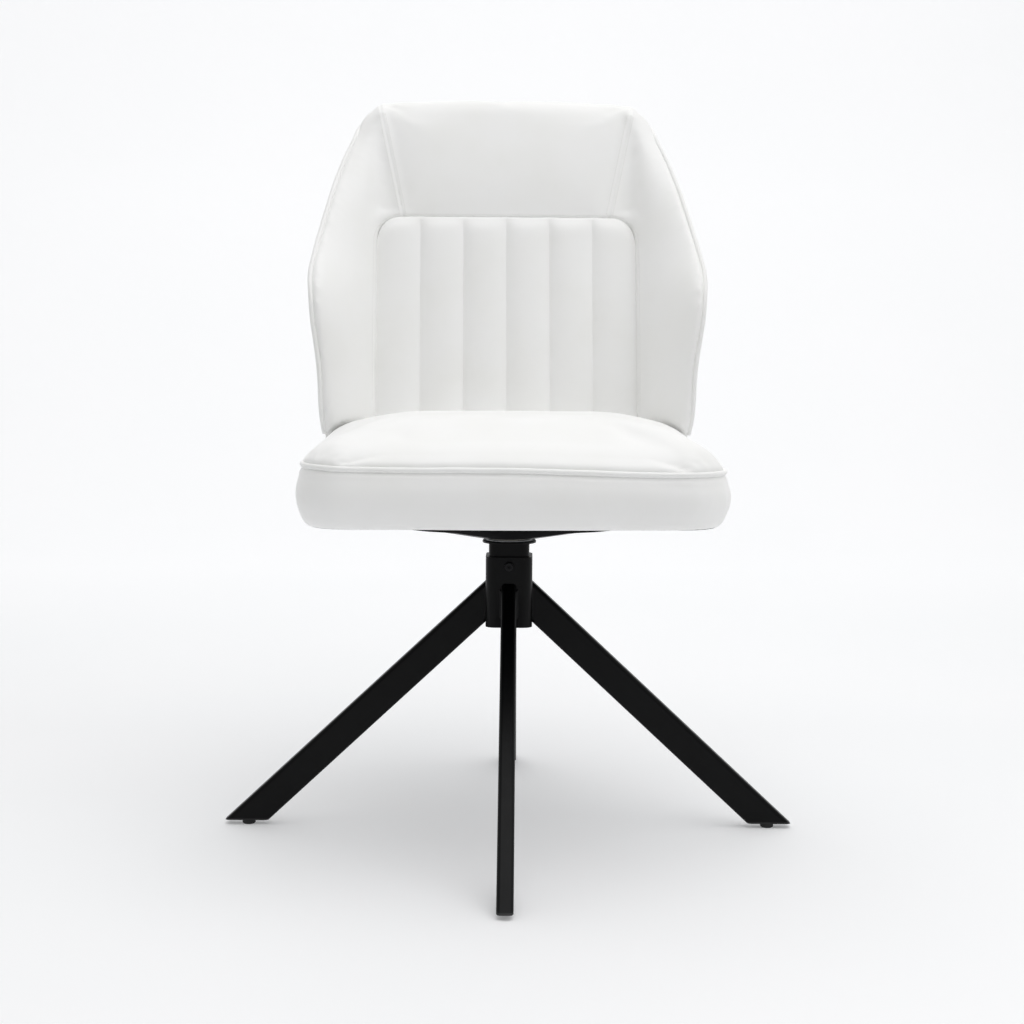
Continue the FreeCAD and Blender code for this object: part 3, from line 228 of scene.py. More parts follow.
def bonded_cloth(name):
    """Thin spun-bonded black lining cloth: matt, with pressed dimples and stray fibres."""
    material, tree, shader = new_material(name, Specular_IOR_Level=0.2, Sheen_Weight=0.15)
    where = place(tree)
    # bonding points every 1.6 mm
    dimples = add_node(tree, "ShaderNodeTexVoronoi", {"Scale": 1 / 0.0016, "Randomness": 0.2}, Vector=where)
    fibres = pattern(tree, 0.0009, 4.0)
    tree.links.new(blend_colours(tree, "0B0B0C", "232325", fibres), shader.inputs["Base Color"])
    tree.links.new(spread(tree, fibres, 0.8, 0.95), shader.inputs["Roughness"])
    raise_surface(tree, shader, dimples.outputs["Distance"], 0.4, 0.0002)
    return material


def bonded_thread(name, colour, shade):
    """Three-ply bonded polyester thread: the twist shows as fine slanting ribs, with painted shade in the grooves
    between the plies.
    """
    material, tree, shader = new_material(name, Specular_IOR_Level=0.4, Sheen_Weight=0.2)
    # plies 0.35 mm apart, drawn twice as coarse so that they show
    twist = add_node(tree, "ShaderNodeTexWave", {"bands_direction": "DIAGONAL",
                                                 "Scale": 1 / (2 * math.pi * 0.0007)}, Vector=place(tree))
    # the darker colour in the grooves between the plies is painted shade
    tree.links.new(blend_colours(tree, shade, colour, twist.outputs["Fac"]), shader.inputs["Base Color"])
    tree.links.new(spread(tree, twist.outputs["Fac"], 0.45, 0.6), shader.inputs["Roughness"])
    raise_surface(tree, shader, twist.outputs["Fac"], 0.4, 0.0002)
    return material


def studio_paper(name, colour, shade):
    """Matt white studio floor sweep: almost even, with the faintest mottling."""
    material, tree, shader = new_material(name, Specular_IOR_Level=0.1)
    tree.links.new(blend_colours(tree, shade, colour, pattern(tree, 0.9)), shader.inputs["Base Color"])
    tree.links.new(spread(tree, pattern(tree, 0.3), 0.55, 0.7), shader.inputs["Roughness"])
    # painted light: the paper glows with its own light, more so behind the chair, which brightens the floor and lifts
    # the shadows on it
    shader.inputs["Emission Color"].default_value = (0.985, 0.99, 1.0, 1.0)
    depth = add_node(tree, "ShaderNodeSeparateXYZ", Vector=place(tree)).outputs["Y"]
    glow = add_node(tree, "ShaderNodeMapRange", {"From Min": 0.5, "From Max": 4.2, "To Min": 0.20, "To Max": 0.52},
                    Value=depth)
    tree.links.new(glow.outputs["Result"], shader.inputs["Emission Strength"])
    return material


# Meshes

def only(piece):
    """Select one object and make it active."""
    if bpy.context.object and bpy.context.object.mode != "OBJECT":
        bpy.ops.object.mode_set(mode="OBJECT")
    bpy.ops.object.select_all(action="DESELECT")
    piece.select_set(True)
    bpy.context.view_layer.objects.active = piece
    return piece


def finish_modifier(piece, kind, **settings):
    """Add a modifier and apply it."""
    only(piece)
    modifier = piece.modifiers.new(kind.title(), kind)
    for word, value in settings.items():
        setattr(modifier, word, value)
    bpy.ops.object.modifier_apply(modifier=modifier.name)
    return piece


def points_of(piece):
    flat = np.empty(len(piece.data.vertices) * 3)
    piece.data.vertices.foreach_get("co", flat)
    return flat.reshape(-1, 3)


def normals_of(piece):
    flat = np.empty(len(piece.data.vertices) * 3)
    piece.data.vertex_normals.foreach_get("vector", flat)
    return flat.reshape(-1, 3)


def set_points(piece, points):
    piece.data.vertices.foreach_set("co", np.ascontiguousarray(points).ravel())
    piece.data.update()


def copy_solid(node, name):
    """A soft piece's own mesh, started from the shape of its construction solid."""
    mesh = NODES[node].data.copy()
    mesh.name = name
    mesh.materials.clear()
    piece = bpy.data.objects.new(name, mesh)
    bpy.context.scene.collection.objects.link(piece)
    shell = bmesh.new()
    shell.from_mesh(mesh)
    bmesh.ops.remove_doubles(shell, verts=shell.verts, dist=2e-5)
    shell.to_mesh(mesh)
    shell.free()
    return piece


def remesh(piece, voxel, smoothing):
    finish_modifier(piece, "REMESH", mode="VOXEL", voxel_size=voxel)
    finish_modifier(piece, "SMOOTH", factor=0.5, iterations=smoothing)
    return piece


def swell(piece, held, pressure, cap):
    """Inflate the cover as cloth, held where it is sewn or lies against its neighbours."""
    start = points_of(piece)
    group = piece.vertex_groups.new(name="held")
    for weight in range(1, 11):
        chosen = np.nonzero(np.round(held * 10) == weight)[0]
        if len(chosen):
            group.add(chosen.tolist(), weight / 10, "REPLACE")
    only(piece)
    modifier = piece.modifiers.new("Cloth", "CLOTH")
    cloth = modifier.settings
    cloth.quality = 4
    cloth.mass = 0.25
    cloth.tension_stiffness = 18
    cloth.compression_stiffness = 12
    cloth.shear_stiffness = 8
    cloth.bending_stiffness = 1.2
    cloth.use_pressure = True
    cloth.uniform_pressure_force = pressure
    cloth.effector_weights.gravity = 0
    cloth.vertex_group_mass = "held"
    cloth.pin_stiffness = 1
    modifier.point_cache.frame_start = 1
    modifier.point_cache.frame_end = 20
    for step in range(1, 21):
        bpy.context.scene.frame_set(step)
    shaped = piece.evaluated_get(bpy.context.evaluated_depsgraph_get())
    flat = np.empty(len(piece.data.vertices) * 3)
    shaped.data.vertices.foreach_get("co", flat)
    piece.modifiers.remove(modifier)
    bpy.context.scene.frame_set(1)
    shift = flat.reshape(-1, 3) - start
    far = np.linalg.norm(shift, axis=1)
    print(piece.name, "swells", round(float(far.max()) * 1000, 1), "mm before the cap")
    shift *= np.minimum(1, cap / np.maximum(far, 1e-9))[:, None]
    set_points(piece, start + shift)
    piece.vertex_groups.remove(group)
    return piece


def ease(piece, share, iterations):
    """Smooth a cover by its own share at each point."""
    loose = points_of(piece)
    finish_modifier(piece, "SMOOTH", factor=0.5, iterations=iterations)
    set_points(piece, loose + (points_of(piece) - loose) * share[:, None])


def soften(piece, levels=1):
    finish_modifier(piece, "SUBSURF", levels=levels, render_levels=levels)
    only(piece)
    bpy.ops.object.shade_smooth()
    return piece


def near(values, middle, width):
    """One at a place, falling smoothly to nothing at a width from it."""
    share = np.clip(np.abs(values - middle) / width, 0, 1)
    return (1 - share ** 2) ** 2


def dress(piece, material, slot, body, *nodes):
    """Give a finished piece its material and its place in the moving model."""
    piece.data.materials.clear()
    piece.data.materials.append(material)
    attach(piece, body)
    if nodes:
        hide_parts(*nodes)
    return piece


def lean_at(height):
    return (height - LEAN_START) * math.tan(LEAN)


def ripples(points, size, seed):
    """Smooth repeatable noise at each point, between minus one and one."""
    offset = Vector((seed * 3.7, seed * 1.3, seed * 2.1))
    return np.array([noise.noise(Vector(point) / size + offset) for point in points])


# The seat

def seam_tilt(x):
    """How far the piped seam stands above or below its level line: higher at the left, a shallow wave."""
    share = x / SEAT_HALF_WIDTH
    return -0.0036 * share + 0.0009 * np.cos(math.pi * share * 1.6)


def tilt_seam(points):
    """Carry the band round the seam up and down with it, at the front and sides."""
    height = points[:, 2] - SEAT_Z
    carried = near(height, SEAM_HEIGHT, 0.045) * np.clip((0.14 - points[:, 1]) / 0.2, 0, 1)
    points[:, 2] += seam_tilt(points[:, 0]) * carried
    return points


def seat_outline(inset, rear_inset, steps=14):
    """The seat's outline from above, drawn in, as a closed ring of points."""
    right, front, rear = SEAT_HALF_WIDTH - inset, SEAT_FRONT + inset, SEAT_REAR - rear_inset
    radius = max(SEAT_CORNER - inset, 0.35 * SEAT_CORNER)
    ring = []
    for x, y, start in ((right, rear, 0), (-right, rear, 90), (-right, front, 180), (right, front, 270)):
        centre_x = x - math.copysign(radius, x)
        centre_y = y - math.copysign(radius, y)
        for i in range(steps + 1):
            turn = math.radians(start + 90 * i / steps)
            ring.append((centre_x + radius * math.cos(turn), centre_y + radius * math.sin(turn)))
    return ring


def make_cushion(sizes, material):
    piece = copy_solid("seat_cushion", "seat_cushion_cover")
    remesh(piece, sizes.voxel_large, 6)
    points = points_of(piece)
    normals = normals_of(piece)
    height = points[:, 2] - SEAT_Z
    seam = near(height, SEAM_HEIGHT, 0.012)
    outside = np.abs(normals[:, 2]) < 0.75
    seam = seam * outside
    under = np.clip((0.016 - height) / 0.012, 0, 1)
    rear = np.clip((points[:, 1] - 0.155) / 0.012, 0, 1)
    held = np.clip(np.maximum.reduce([seam, under, rear]), 0, 1)
    start = points - normals * (0.45 * sizes.swell * (1 - held))[:, None]
    set_points(piece, start)
    swell(piece, held, 3.5, sizes.swell)
    # the crown is tight over its foam
    height = points_of(piece)[:, 2] - SEAT_Z
    ease(piece, 0.85 * np.clip((height - SEAM_HEIGHT - 0.008) / 0.012, 0, 1), 10)
    points = points_of(piece)
    normals = normals_of(piece)
    height = points[:, 2] - SEAT_Z
    pucker = ripples(points * np.array((1, 1, 0.35)), 0.016, 3)
    edge = near(height, SEAM_HEIGHT, 0.026) * (np.abs(normals[:, 2]) < 0.9)
    broad = ripples(points, 0.11, 5)
    band = near(height, 0.5 * SEAM_HEIGHT, 0.5 * SEAM_HEIGHT) * (np.abs(normals[:, 2]) < 0.75)
    points += normals * (edge * pucker * 0.0005 + broad * 0.0005 + band * 0.0028)[:, None]
    set_points(piece, tilt_seam(points))
    soften(piece)
    # the seam is drawn in hard along one fine line after the swelling
    points = points_of(piece)
    height = points[:, 2] - SEAT_Z - seam_tilt(points[:, 0]) * np.clip((0.14 - points[:, 1]) / 0.2, 0, 1)
    normals = normals_of(piece)
    pull = near(height, SEAM_HEIGHT, 0.009) * (np.abs(normals[:, 2]) < 0.9) * (points[:, 1] < 0.16)
    points -= normals * (pull * 0.0034)[:, None]
    # the hem hangs a little below the board that it is turned under
    points[:, 2] -= HEM_DROP * np.clip(1 - (points[:, 2] - SEAT_Z) / 0.030, 0, 1) ** 2
    set_points(piece, points)
    dress(piece, material, "white_upholstery", "seat", "seat_cushion")
    return piece


def tube(name, path, radius, closed, sides=5):
    """A round welt along a line, as a mesh with closed ends."""
    curve = bpy.data.curves.new(name, "CURVE")
    curve.dimensions = "3D"
    curve.bevel_depth = radius
    curve.bevel_resolution = sides
    curve.use_fill_caps = True
    line = curve.splines.new("POLY")
    line.points.add(len(path) - 1)
    for point, (x, y, z) in zip(line.points, path):
        point.co = (x, y, z, 1)
    line.use_cyclic_u = closed
    piece = bpy.data.objects.new(name, curve)
    bpy.context.scene.collection.objects.link(piece)
    only(piece)
    bpy.ops.object.convert(target="MESH")
    piece = bpy.context.object
    bpy.ops.object.mode_set(mode="EDIT")
    bpy.ops.mesh.select_all(action="SELECT")
    bpy.ops.mesh.remove_doubles(threshold=1e-5)
    bpy.ops.mesh.normals_make_consistent(inside=False)
    bpy.ops.object.mode_set(mode="OBJECT")
    bpy.ops.object.shade_smooth()
    return piece


def even_path(points, step, closed=False):
    """The same line with points at even steps, smoothed a little at the joins."""
    points = np.array(points)
    if closed:
        points = np.vstack([points, points[:1]])
    along = np.concatenate([[0], np.cumsum(np.linalg.norm(np.diff(points, axis=0), axis=1))])
    count = max(int(along[-1] / step), 8)
    places = np.linspace(0, along[-1], count + 1)
    path = np.stack([np.interp(places, along, points[:, k]) for k in range(3)], axis=1)
    if closed:
        path = path[:-1]
    for _ in range(6):
        if closed:
            path = 0.5 * path + 0.25 * (np.roll(path, 1, axis=0) + np.roll(path, -1, axis=0))
        else:
            path[1:-1] = 0.5 * path[1:-1] + 0.25 * (path[:-2] + path[2:])
    return path


def tree_of(piece):
    mesh = piece.data
    return BVHTree.FromPolygons([v.co for v in mesh.vertices], [tuple(p.vertices) for p in mesh.polygons])


def lay_on(piece, path, cores, proud):
    """Move a line onto the cover, each point along its own direction out from the core."""
    tree = tree_of(piece)
    laid = np.array(path)
    proud = np.broadcast_to(proud, len(path))
    for i, (point, core) in enumerate(zip(path, cores)):
        out = (Vector(point) - Vector(core)).normalized()
        hit = tree.ray_cast(Vector(point) + out * 0.04, -out, 0.08)[0]
        if hit is not None:
            laid[i] = hit + out * float(proud[i])
    return laid


def make_seat_piping(sizes, material, cushion):
    radius = sizes.piping / 2
    ring = seat_outline(SEAM_DRAW, radius + 0.0005)
    path = even_path([(x, y, SEAT_Z + SEAM_HEIGHT) for x, y in ring], 0.004, closed=True)
    path[:, 2] += seam_tilt(path[:, 0]) * np.clip((0.14 - path[:, 1]) / 0.2, 0, 1)
    cores = path * np.array((0.75, 0.75, 1))
    path = even_path(lay_on(cushion, path, cores, 0.35 * radius), 0.004, closed=True)
    path += np.stack([ripples(path, 0.03, seed) for seed in (11, 12, 13)], axis=1) * 0.0004
    piece = tube("seat_piping_welt", path, radius, True)
    return dress(piece, material, "white_upholstery", "seat", "seat_piping")


# The back

def back_sizes(height):
    """Half width, front, wing crest and rear of the back at one height above the seat's underside."""
    front = BACK_FRONT + max(lean_at(height), 0)
    rear = BACK_FRONT + lean_at(height) + 0.062
    if height <= WAIST:
        share = (WAIST - height) / (WAIST - WING_BOTTOM)
        half = 0.250 - 0.016 * share
        reach = 0.108 * (1 - 0.6 * share ** 1.7)
    else:
        share = min((height - WAIST) / (SHOULDER - WAIST), 1)
        half = 0.250 - 0.046 * share + 0.0215 * math.sqrt(share) * (1 - share)
        reach = 0.108 * (1 - share) ** 1.1
    if height > SHOULDER:
        roll = 1 - math.sqrt(max(1 - ((height - SHOULDER) / (BACK_TOP - SHOULDER)) ** 2, 0))
        half += (0.156 - half) * roll
        front += 0.022 * roll
        rear -= 0.022 * roll
    return half, front, front - reach, rear, reach


def panel_plane(height):
    """How far back the panel's seams lie at one height."""
    return BACK_FRONT + lean_at(height)


def channel_places():
    """Where the panel's six upright seams and its two sides lie."""
    pitch = 2 * PANEL_HALF / CHANNELS
    return [-PANEL_HALF + i * pitch for i in range(CHANNELS + 1)]


def panel_top_at(x):
    """The panel's top edge, with its rounded corners."""
    past = max(abs(x) - (PANEL_HALF - PANEL_CORNER), 0)
    return PANEL_TOP - PANEL_CORNER + math.sqrt(max(PANEL_CORNER ** 2 - past ** 2, 0))


def panel_face(x, height, share):
    """A point of the panel's face: flat-topped channels between sewn seams, drawn in at the border."""
    pitch = 2 * PANEL_HALF / CHANNELS
    across = abs(((x + PANEL_HALF) / pitch) % 1.0 * 2 - 1) if abs(x) < PANEL_HALF else 1.0
    swell_here = CHANNEL_SWELL * (1 - across ** 3.4)
    to_top = (panel_top_at(x) - height) / 0.020
    swell_here *= 1 - (1 - min(max(to_top, 0), 1)) ** 2.5
    return (x, panel_plane(height) - swell_here, SEAT_Z + height)


def make_panel(sizes, material):
    """The channelled panel as one sheet of even rows, swollen, then given its thickness."""
    pitch = 2 * PANEL_HALF / CHANNELS
    columns = []
    for i in range(CHANNELS):
        steps = [0.5 - 0.5 * math.cos(math.pi * k / CHANNEL_STEPS) for k in range(CHANNEL_STEPS)]
        columns += [-PANEL_HALF + (i + step) * pitch for step in steps]
    columns = [-PANEL_HALF - TUCK, *columns, PANEL_HALF, PANEL_HALF + TUCK]
    rows = 68
    shell = bmesh.new()
    grid = []
    for x in columns:
        top = panel_top_at(min(max(x, -PANEL_HALF), PANEL_HALF)) + TUCK
        line = []
        for k in range(rows + 1):
            height = PANEL_BOTTOM + (top - PANEL_BOTTOM) * k / rows
            line.append(shell.verts.new(panel_face(x, height, k / rows)))
        grid.append(line)
    for left, right in zip(grid, grid[1:]):
        for k in range(rows):
            shell.faces.new((left[k], right[k], right[k + 1], left[k + 1]))
    mesh = bpy.data.meshes.new("back_panel_cover")
    shell.to_mesh(mesh)
    shell.free()
    piece = bpy.data.objects.new("back_panel_cover", mesh)
    bpy.context.scene.collection.objects.link(piece)
    points = points_of(piece)
    height = points[:, 2] - SEAT_Z
    held = np.zeros(len(points))
    for place_x in channel_places():
        held = np.maximum(held, near(points[:, 0], place_x, 0.004))
    tops = np.array([panel_top_at(x) for x in points[:, 0]])
    held = np.maximum(held, np.clip(1 - (tops - height) / 0.006, 0, 1))
    held = np.maximum(held, np.clip(1 - (height - PANEL_BOTTOM) / 0.006, 0, 1))
    swell(piece, held, 2.5, 0.3 * sizes.swell)
    points = points_of(piece)
    normals = normals_of(piece)
    edge = np.zeros(len(points))
    for place_x in channel_places():
        edge = np.maximum(edge, near(points[:, 0], place_x, 0.020))
    pucker = ripples(points * np.array((0.5, 0.5, 1)), 0.013, 9)
    broad = ripples(points, 0.10, 8)
    points += normals * (edge * (1 - held) * pucker * 0.0006 + (1 - held) * broad * 0.0006)[:, None]
    set_points(piece, points)
    finish_modifier(piece, "SOLIDIFY", thickness=0.012, offset=-1)
    soften(piece)
    dress(piece, material, "white_upholstery", "seat", "back_panel")
    return piece


def join_pieces(pieces, name):
    bpy.ops.object.select_all(action="DESELECT")
    for piece in pieces:
        piece.select_set(True)
    bpy.context.view_layer.objects.active = pieces[0]
    bpy.ops.object.join()
    pieces[0].name = name
    pieces[0].data.name = name
    return pieces[0]


def cut_lines(piece, planes):
    """Add rows of vertices where planes cross the cover, each plane only where its test allows."""
    shell = bmesh.new()
    shell.from_mesh(piece.data)
    for point, normal, wanted in planes:
        faces = [face for face in shell.faces if wanted(face.calc_center_median())]
        edges = {edge for face in faces for edge in face.edges}
        verts = {vert for face in faces for vert in face.verts}
        bmesh.ops.bisect_plane(shell, geom=list(verts) + list(edges) + faces, dist=1e-5,
                               plane_co=point, plane_no=normal)
    shell.to_mesh(piece.data)
    shell.free()


def slanting_seam(side):
    """A point on the seam that runs from the panel's corner to the top, and its direction across."""
    slope = TOP_PAD_FLARE / (BACK_TOP - PANEL_TOP)
    return Vector((side * TOP_PAD_HALF, 0, SEAT_Z + PANEL_TOP)), Vector((side, 0, -slope)).normalized()


def seam_distance(points, side):
    origin, across = slanting_seam(side)
    return (points - np.array(origin)) @ np.array(across)


def on_slanting_seam(points):
    """One where the slanting seams can be, on the front above the panel's corners."""
    height = points[:, 2] - SEAT_Z
    return (height > PANEL_TOP - 0.012) & (points[:, 1] < panel_plane(height) + 0.030)


def round_shoulders(points):
    """Draw the top corners in, as the tight cover does on the foam."""
    rise = np.clip((points[:, 2] - SEAT_Z - 0.440) / (BACK_TOP - 0.440), 0, 1)
    out = np.clip(np.abs(points[:, 0]) / 0.16, 0, 1) ** 2
    points[:, 0] -= np.sign(points[:, 0]) * out * SHOULDER_DRAW * rise ** 1.3
    return points


def tighten_rear(piece):
    """Ease out the small wrinkles behind the piped edges, where the cover is stretched tight."""
    points = points_of(piece)
    normals = normals_of(piece)
    height = points[:, 2] - SEAT_Z
    edge = np.array([back_sizes(h)[2] for h in np.clip(height, WING_BOTTOM, 0.49)])
    behind = np.clip((points[:, 1] - edge - 0.016) / 0.030, 0, 1)
    behind *= np.clip(0.6 + normals[:, 1] + np.abs(normals[:, 0]), 0, 1)
    behind *= np.clip((height - 0.015) / 0.03, 0, 1)
    ease(piece, 0.9 * behind, 14)


def make_back_cover(sizes, material):
    """The sewn sleeve of the back: wings, pad over the panel and outer cover, with their seams."""
    nodes = ("back_cover", "back_wing_left", "back_wing_right", "back_top_pad")
    piece = join_pieces([copy_solid(node, node + "_copy") for node in nodes], "back_sleeve")
    remesh(piece, sizes.voxel_back, 5)
    points = round_shoulders(points_of(piece))
    normals = normals_of(piece)
    height = points[:, 2] - SEAT_Z
    plane = panel_plane(height)
    inside = (np.abs(points[:, 0]) < PANEL_HALF + 0.003) & (height < PANEL_TOP + 0.004)
    inside &= points[:, 1] < plane + 0.050
    seams = np.zeros(len(points))
    for side in (-1, 1):
        seams = np.maximum(seams, near(seam_distance(points, side), 0, 0.010) * on_slanting_seam(points))
    border = near(np.abs(points[:, 0]) - PANEL_HALF, 0, 0.012) * (height < PANEL_TOP)
    border = np.maximum(border, near(height, PANEL_TOP, 0.012) * (np.abs(points[:, 0]) < PANEL_HALF))
    front = points[:, 1] < plane + 0.030
    held = np.maximum(np.maximum(seams, border * front), inside)
    held = np.maximum(held, near(wing_edge_distance(points), 0, 0.012))
    held = np.maximum(held, np.clip((0.03 - height) / 0.02, 0, 1))
    cap = 0.8 * sizes.swell
    set_points(piece, points + normals * (0.0010 * held - 0.30 * cap * (1 - held))[:, None])
    swell(piece, held, 3, cap)
    tighten_rear(piece)
    points = points_of(piece)
    normals = normals_of(piece)
    broad = ripples(points, 0.09, 7)
    points += normals * ((1 - held) * broad * 0.0005)[:, None]
    # the cover's lower edge is pulled down over the frame's
    points[:, 2] -= HEM_REACH * np.clip(1 - (points[:, 2] - SEAT_Z - 0.011) / 0.045, 0, 1) ** 2
    # the feet of the wings press down onto the seat
    foot = np.clip(1 - (points[:, 2] - SEAT_Z - WING_BOTTOM) / 0.035, 0, 1) ** 2 * (points[:, 1] < BACK_FRONT - 0.004)
    points[:, 2] -= WING_PRESS * foot
    set_points(piece, points)
    soften(piece)
    planes = []
    for side in (-1, 1):
        origin, across = slanting_seam(side)
        for shift in (0, -0.0022, 0.0022):
            planes.append((origin + across * shift, across, lambda c, side=side: (
                abs(seam_distance(np.array([c]), side)[0]) < 0.012 and bool(on_slanting_seam(np.array([c]))[0]))))
    cut_lines(piece, planes)
    points = points_of(piece)
    normals = normals_of(piece)
    pull = np.zeros(len(points))
    for side in (-1, 1):
        pull = np.maximum(pull, near(seam_distance(points, side), 0, 0.0030) * on_slanting_seam(points))
    groove = near(wing_edge_distance(points), 0, 0.010)
    points -= normals * (pull * 0.0010 + groove * 0.0022)[:, None]
    set_points(piece, points)
    only(piece)
    bpy.ops.object.shade_smooth()
    dress(piece, material, "white_upholstery", "seat", *nodes)
    return piece


def wing_edge_distance(points):
    """Distance of each point from the piped edge of the wings, measured level."""
    out = np.full(len(points), 1.0)
    slant = 0.016 * (1 - math.sqrt(0.5))
    for i, (x, y, z) in enumerate(points):
        height = z - SEAT_Z
        if WING_BOTTOM < height < 0.50:
            half, front, crest, rear, reach = back_sizes(height)
            out[i] = math.hypot(abs(x) - (half - slant), y - (crest + slant))
    return out


def make_back_piping(sizes, material, sleeve):
    """The welt up both wing edges and round behind the rolled top, laid on the sleeve's surface."""
    slant = 0.016 * (1 - math.sqrt(0.5))
    right = []
    for i in range(40):
        height = WING_BOTTOM + 0.006 + (0.468 - WING_BOTTOM - 0.006) * i / 39
        half, front, crest, rear, reach = back_sizes(height)
        right.append((half - slant, crest + slant, SEAT_Z + height))
    seam = 0.489
    half, front, crest, rear, reach = back_sizes(seam)
    side = half - 0.020
    depth = rear - front
    right += [(half - 0.001, crest + 0.0176, SEAT_Z + seam - 0.002),
              (side + 0.002, rear - 0.35 * depth - 0.004, SEAT_Z + seam),
              (side - 0.040 + 0.008, rear - 0.001, SEAT_Z + seam),
              (0.45 * (side - 0.040), rear + 0.0064, SEAT_Z + seam)]
    path = even_path(right + [(-x, y, z) for x, y, z in right[::-1]], 0.004)
    path = round_shoulders(path)
    cores = []
    for x, y, z in path:
        half, front, crest, rear, reach = back_sizes(min(z - SEAT_Z, seam))
        middle = (front + rear) / 2
        cores.append((0.8 * x, middle if z > SEAT_Z + 0.47 else max(y + 0.03, middle), z))
    radius = sizes.piping / 2
    # the welt sinks into the seam as it turns behind the top
    proud = 0.5 * radius * np.clip((SEAT_Z + 0.47 - path[:, 2]) / 0.06, 0.1, 1)
    path = lay_on(sleeve, path, cores, proud)
    path = even_path(path, 0.004)
    piece = tube("back_piping_welt", path, radius, False)
    return dress(piece, material, "white_upholstery", "seat", "back_piping")


def bar_row(name, pairs, radius, length, material, slot, body):
    """Stitches or staples: one small rounded bar, copied to the middle of each pair of points."""
    bpy.ops.object.select_all(action="DESELECT")
    bpy.ops.mesh.primitive_cylinder_add(vertices=6, radius=radius, depth=length)
    bar = bpy.context.object
    bpy.ops.object.mode_set(mode="EDIT")
    bpy.ops.mesh.select_all(action="SELECT")
    bpy.ops.mesh.bevel(offset=0.4 * radius, segments=1, affect="EDGES")
    bpy.ops.object.mode_set(mode="OBJECT")
    template = [Vector(point) for point in points_of(bar)]
    faces = [tuple(p.vertices) for p in bar.data.polygons]
    bpy.data.objects.remove(bar)
    points, polygons = [], []
    for start, end in pairs:
        start, end = Vector(start), Vector(end)
        turn = (end - start).to_track_quat("Z", "X")
        base = len(points)
        points += [tuple(turn @ point + (start + end) / 2) for point in template]
        polygons += [tuple(base + i for i in face) for face in faces]
    mesh = bpy.data.meshes.new(name)
    mesh.from_pydata(points, [], polygons)
    piece = bpy.data.objects.new(name, mesh)
    bpy.context.scene.collection.objects.link(piece)
    only(piece)
    bpy.ops.object.shade_smooth()
    return dress(piece, material, slot, body)


def front_line(tree, spots, pitch=0.0022):
    """Points on the front of a cover under a line drawn in the front view, at an even pitch."""
    path = even_path([(x, 0, z) for x, z in spots], pitch)
    found = []
    for x, _, z in path:
        hit = tree.ray_cast(Vector((x, -0.5, z)), Vector((0, 1, 0)))[0]
        if hit is not None:
            found.append(tuple(hit))
    return list(zip(found[::2], found[1::2]))


def make_stitches(sleeve, material):
    """Twin rows beside the slanting seams, and one row over the panel's border."""
    tree = tree_of(sleeve)
    pairs = []
    for side in (-1, 1):
        origin, across = slanting_seam(side)
        along = Vector((across.z * -side, 0, across.x * side))
        along = along if along.z > 0 else -along
        for shift in (-0.0042, 0.0042):
            low = origin + across * shift + along * 0.006
            high = low + along * 0.132
            pairs += front_line(tree, [(low.x, low.z), (high.x, high.z)])
    border = []
    reach = PANEL_HALF + 0.0045
    radius = PANEL_CORNER + 0.0045
    for side in (-1, 1):
        arc = [(side * (reach - radius + radius * math.sin(math.radians(a))),
                SEAT_Z + PANEL_TOP + 0.0045 - radius + radius * math.cos(math.radians(a)))
               for a in range(0, 91, 10)]
        arc.append((side * reach, SEAT_Z + 0.125))
        border.append(arc)
    pairs += front_line(tree, border[0][::-1] + border[1])
    return bar_row("back_stitches", pairs, 0.00034, 0.0033, material, "white_upholstery", "seat")


def lowest(node):
    """The height of a construction part's underside."""
    piece = NODES[node]
    return min((piece.matrix_world @ vert.co).z for vert in piece.data.vertices)


def make_lining(material):
    """The black cloth stapled under the seat, pulled flat, with shallow waves between the staples."""
    ring = seat_outline(LINING_INSET, LINING_INSET - 0.012, 10)
    level = lowest("seat_board") - 0.0009
    shell = bmesh.new()
    rings = 14
    middle = (SEAT_FRONT + SEAT_REAR) / 2
    loops = []
    for k in range(rings):
        share = 1 - k / rings
        loop = []
        for x, y in ring:
            x, y = x * share, middle + (y - middle) * share
            wave = noise.noise(Vector((x, y, 0)) / 0.035) * 0.0008 * (1 - share ** 6)
            loop.append(shell.verts.new((x, y, level - abs(wave))))
        loops.append(loop)
    count = len(ring)
    for outer, inner in zip(loops, loops[1:]):
        for i in range(count):
            shell.faces.new((outer[i], inner[i], inner[(i + 1) % count], outer[(i + 1) % count]))
    shell.faces.new(loops[-1])
    bmesh.ops.recalc_face_normals(shell, faces=shell.faces)
    mesh = bpy.data.meshes.new("seat_lining_cloth")
    shell.to_mesh(mesh)
    shell.free()
    piece = bpy.data.objects.new("seat_lining_cloth", mesh)
    bpy.context.scene.collection.objects.link(piece)
    finish_modifier(piece, "SOLIDIFY", thickness=0.0006, offset=0)
    only(piece)
    bpy.ops.object.shade_smooth()
    dress(piece, material, "lining_cloth", "seat", "seat_lining")
    return piece


def make_staples(material):
    """Upholstery staples round the lining, one every 34 mm or so, each turned a little differently."""
    ring = seat_outline(LINING_INSET + 0.006, LINING_INSET - 0.006, 10)
    level = lowest("seat_board") - 0.0013
    path = even_path([(x, y, level) for x, y in ring], 0.034, closed=True)
    pairs = []
    for i, point in enumerate(path):
        ahead = path[(i + 1) % len(path)] - path[i - 1]
        ahead /= np.linalg.norm(ahead)
        twist = 0.25 * noise.noise(Vector(point) * 41)
        ahead = np.array((ahead[0] - twist * ahead[1], ahead[1] + twist * ahead[0], 0))
        pairs.append((point - 0.005 * ahead, point + 0.005 * ahead))
    return bar_row("lining_staples", pairs, 0.0006, 0.010, material, "zinc_steel", "seat")


# Operators

def sizes_of(context):
    return context.scene.chair_sizes


def colours_of(context):
    return context.scene.chair_colours


def material_for(name, maker, *values):
    """A material made once and shared."""
    return bpy.data.materials.get(name) or maker(name, *values)


def upholstery():
    return material_for("coated_upholstery_fabric", coated_fabric, "FAFAF9", "F7F7F5")


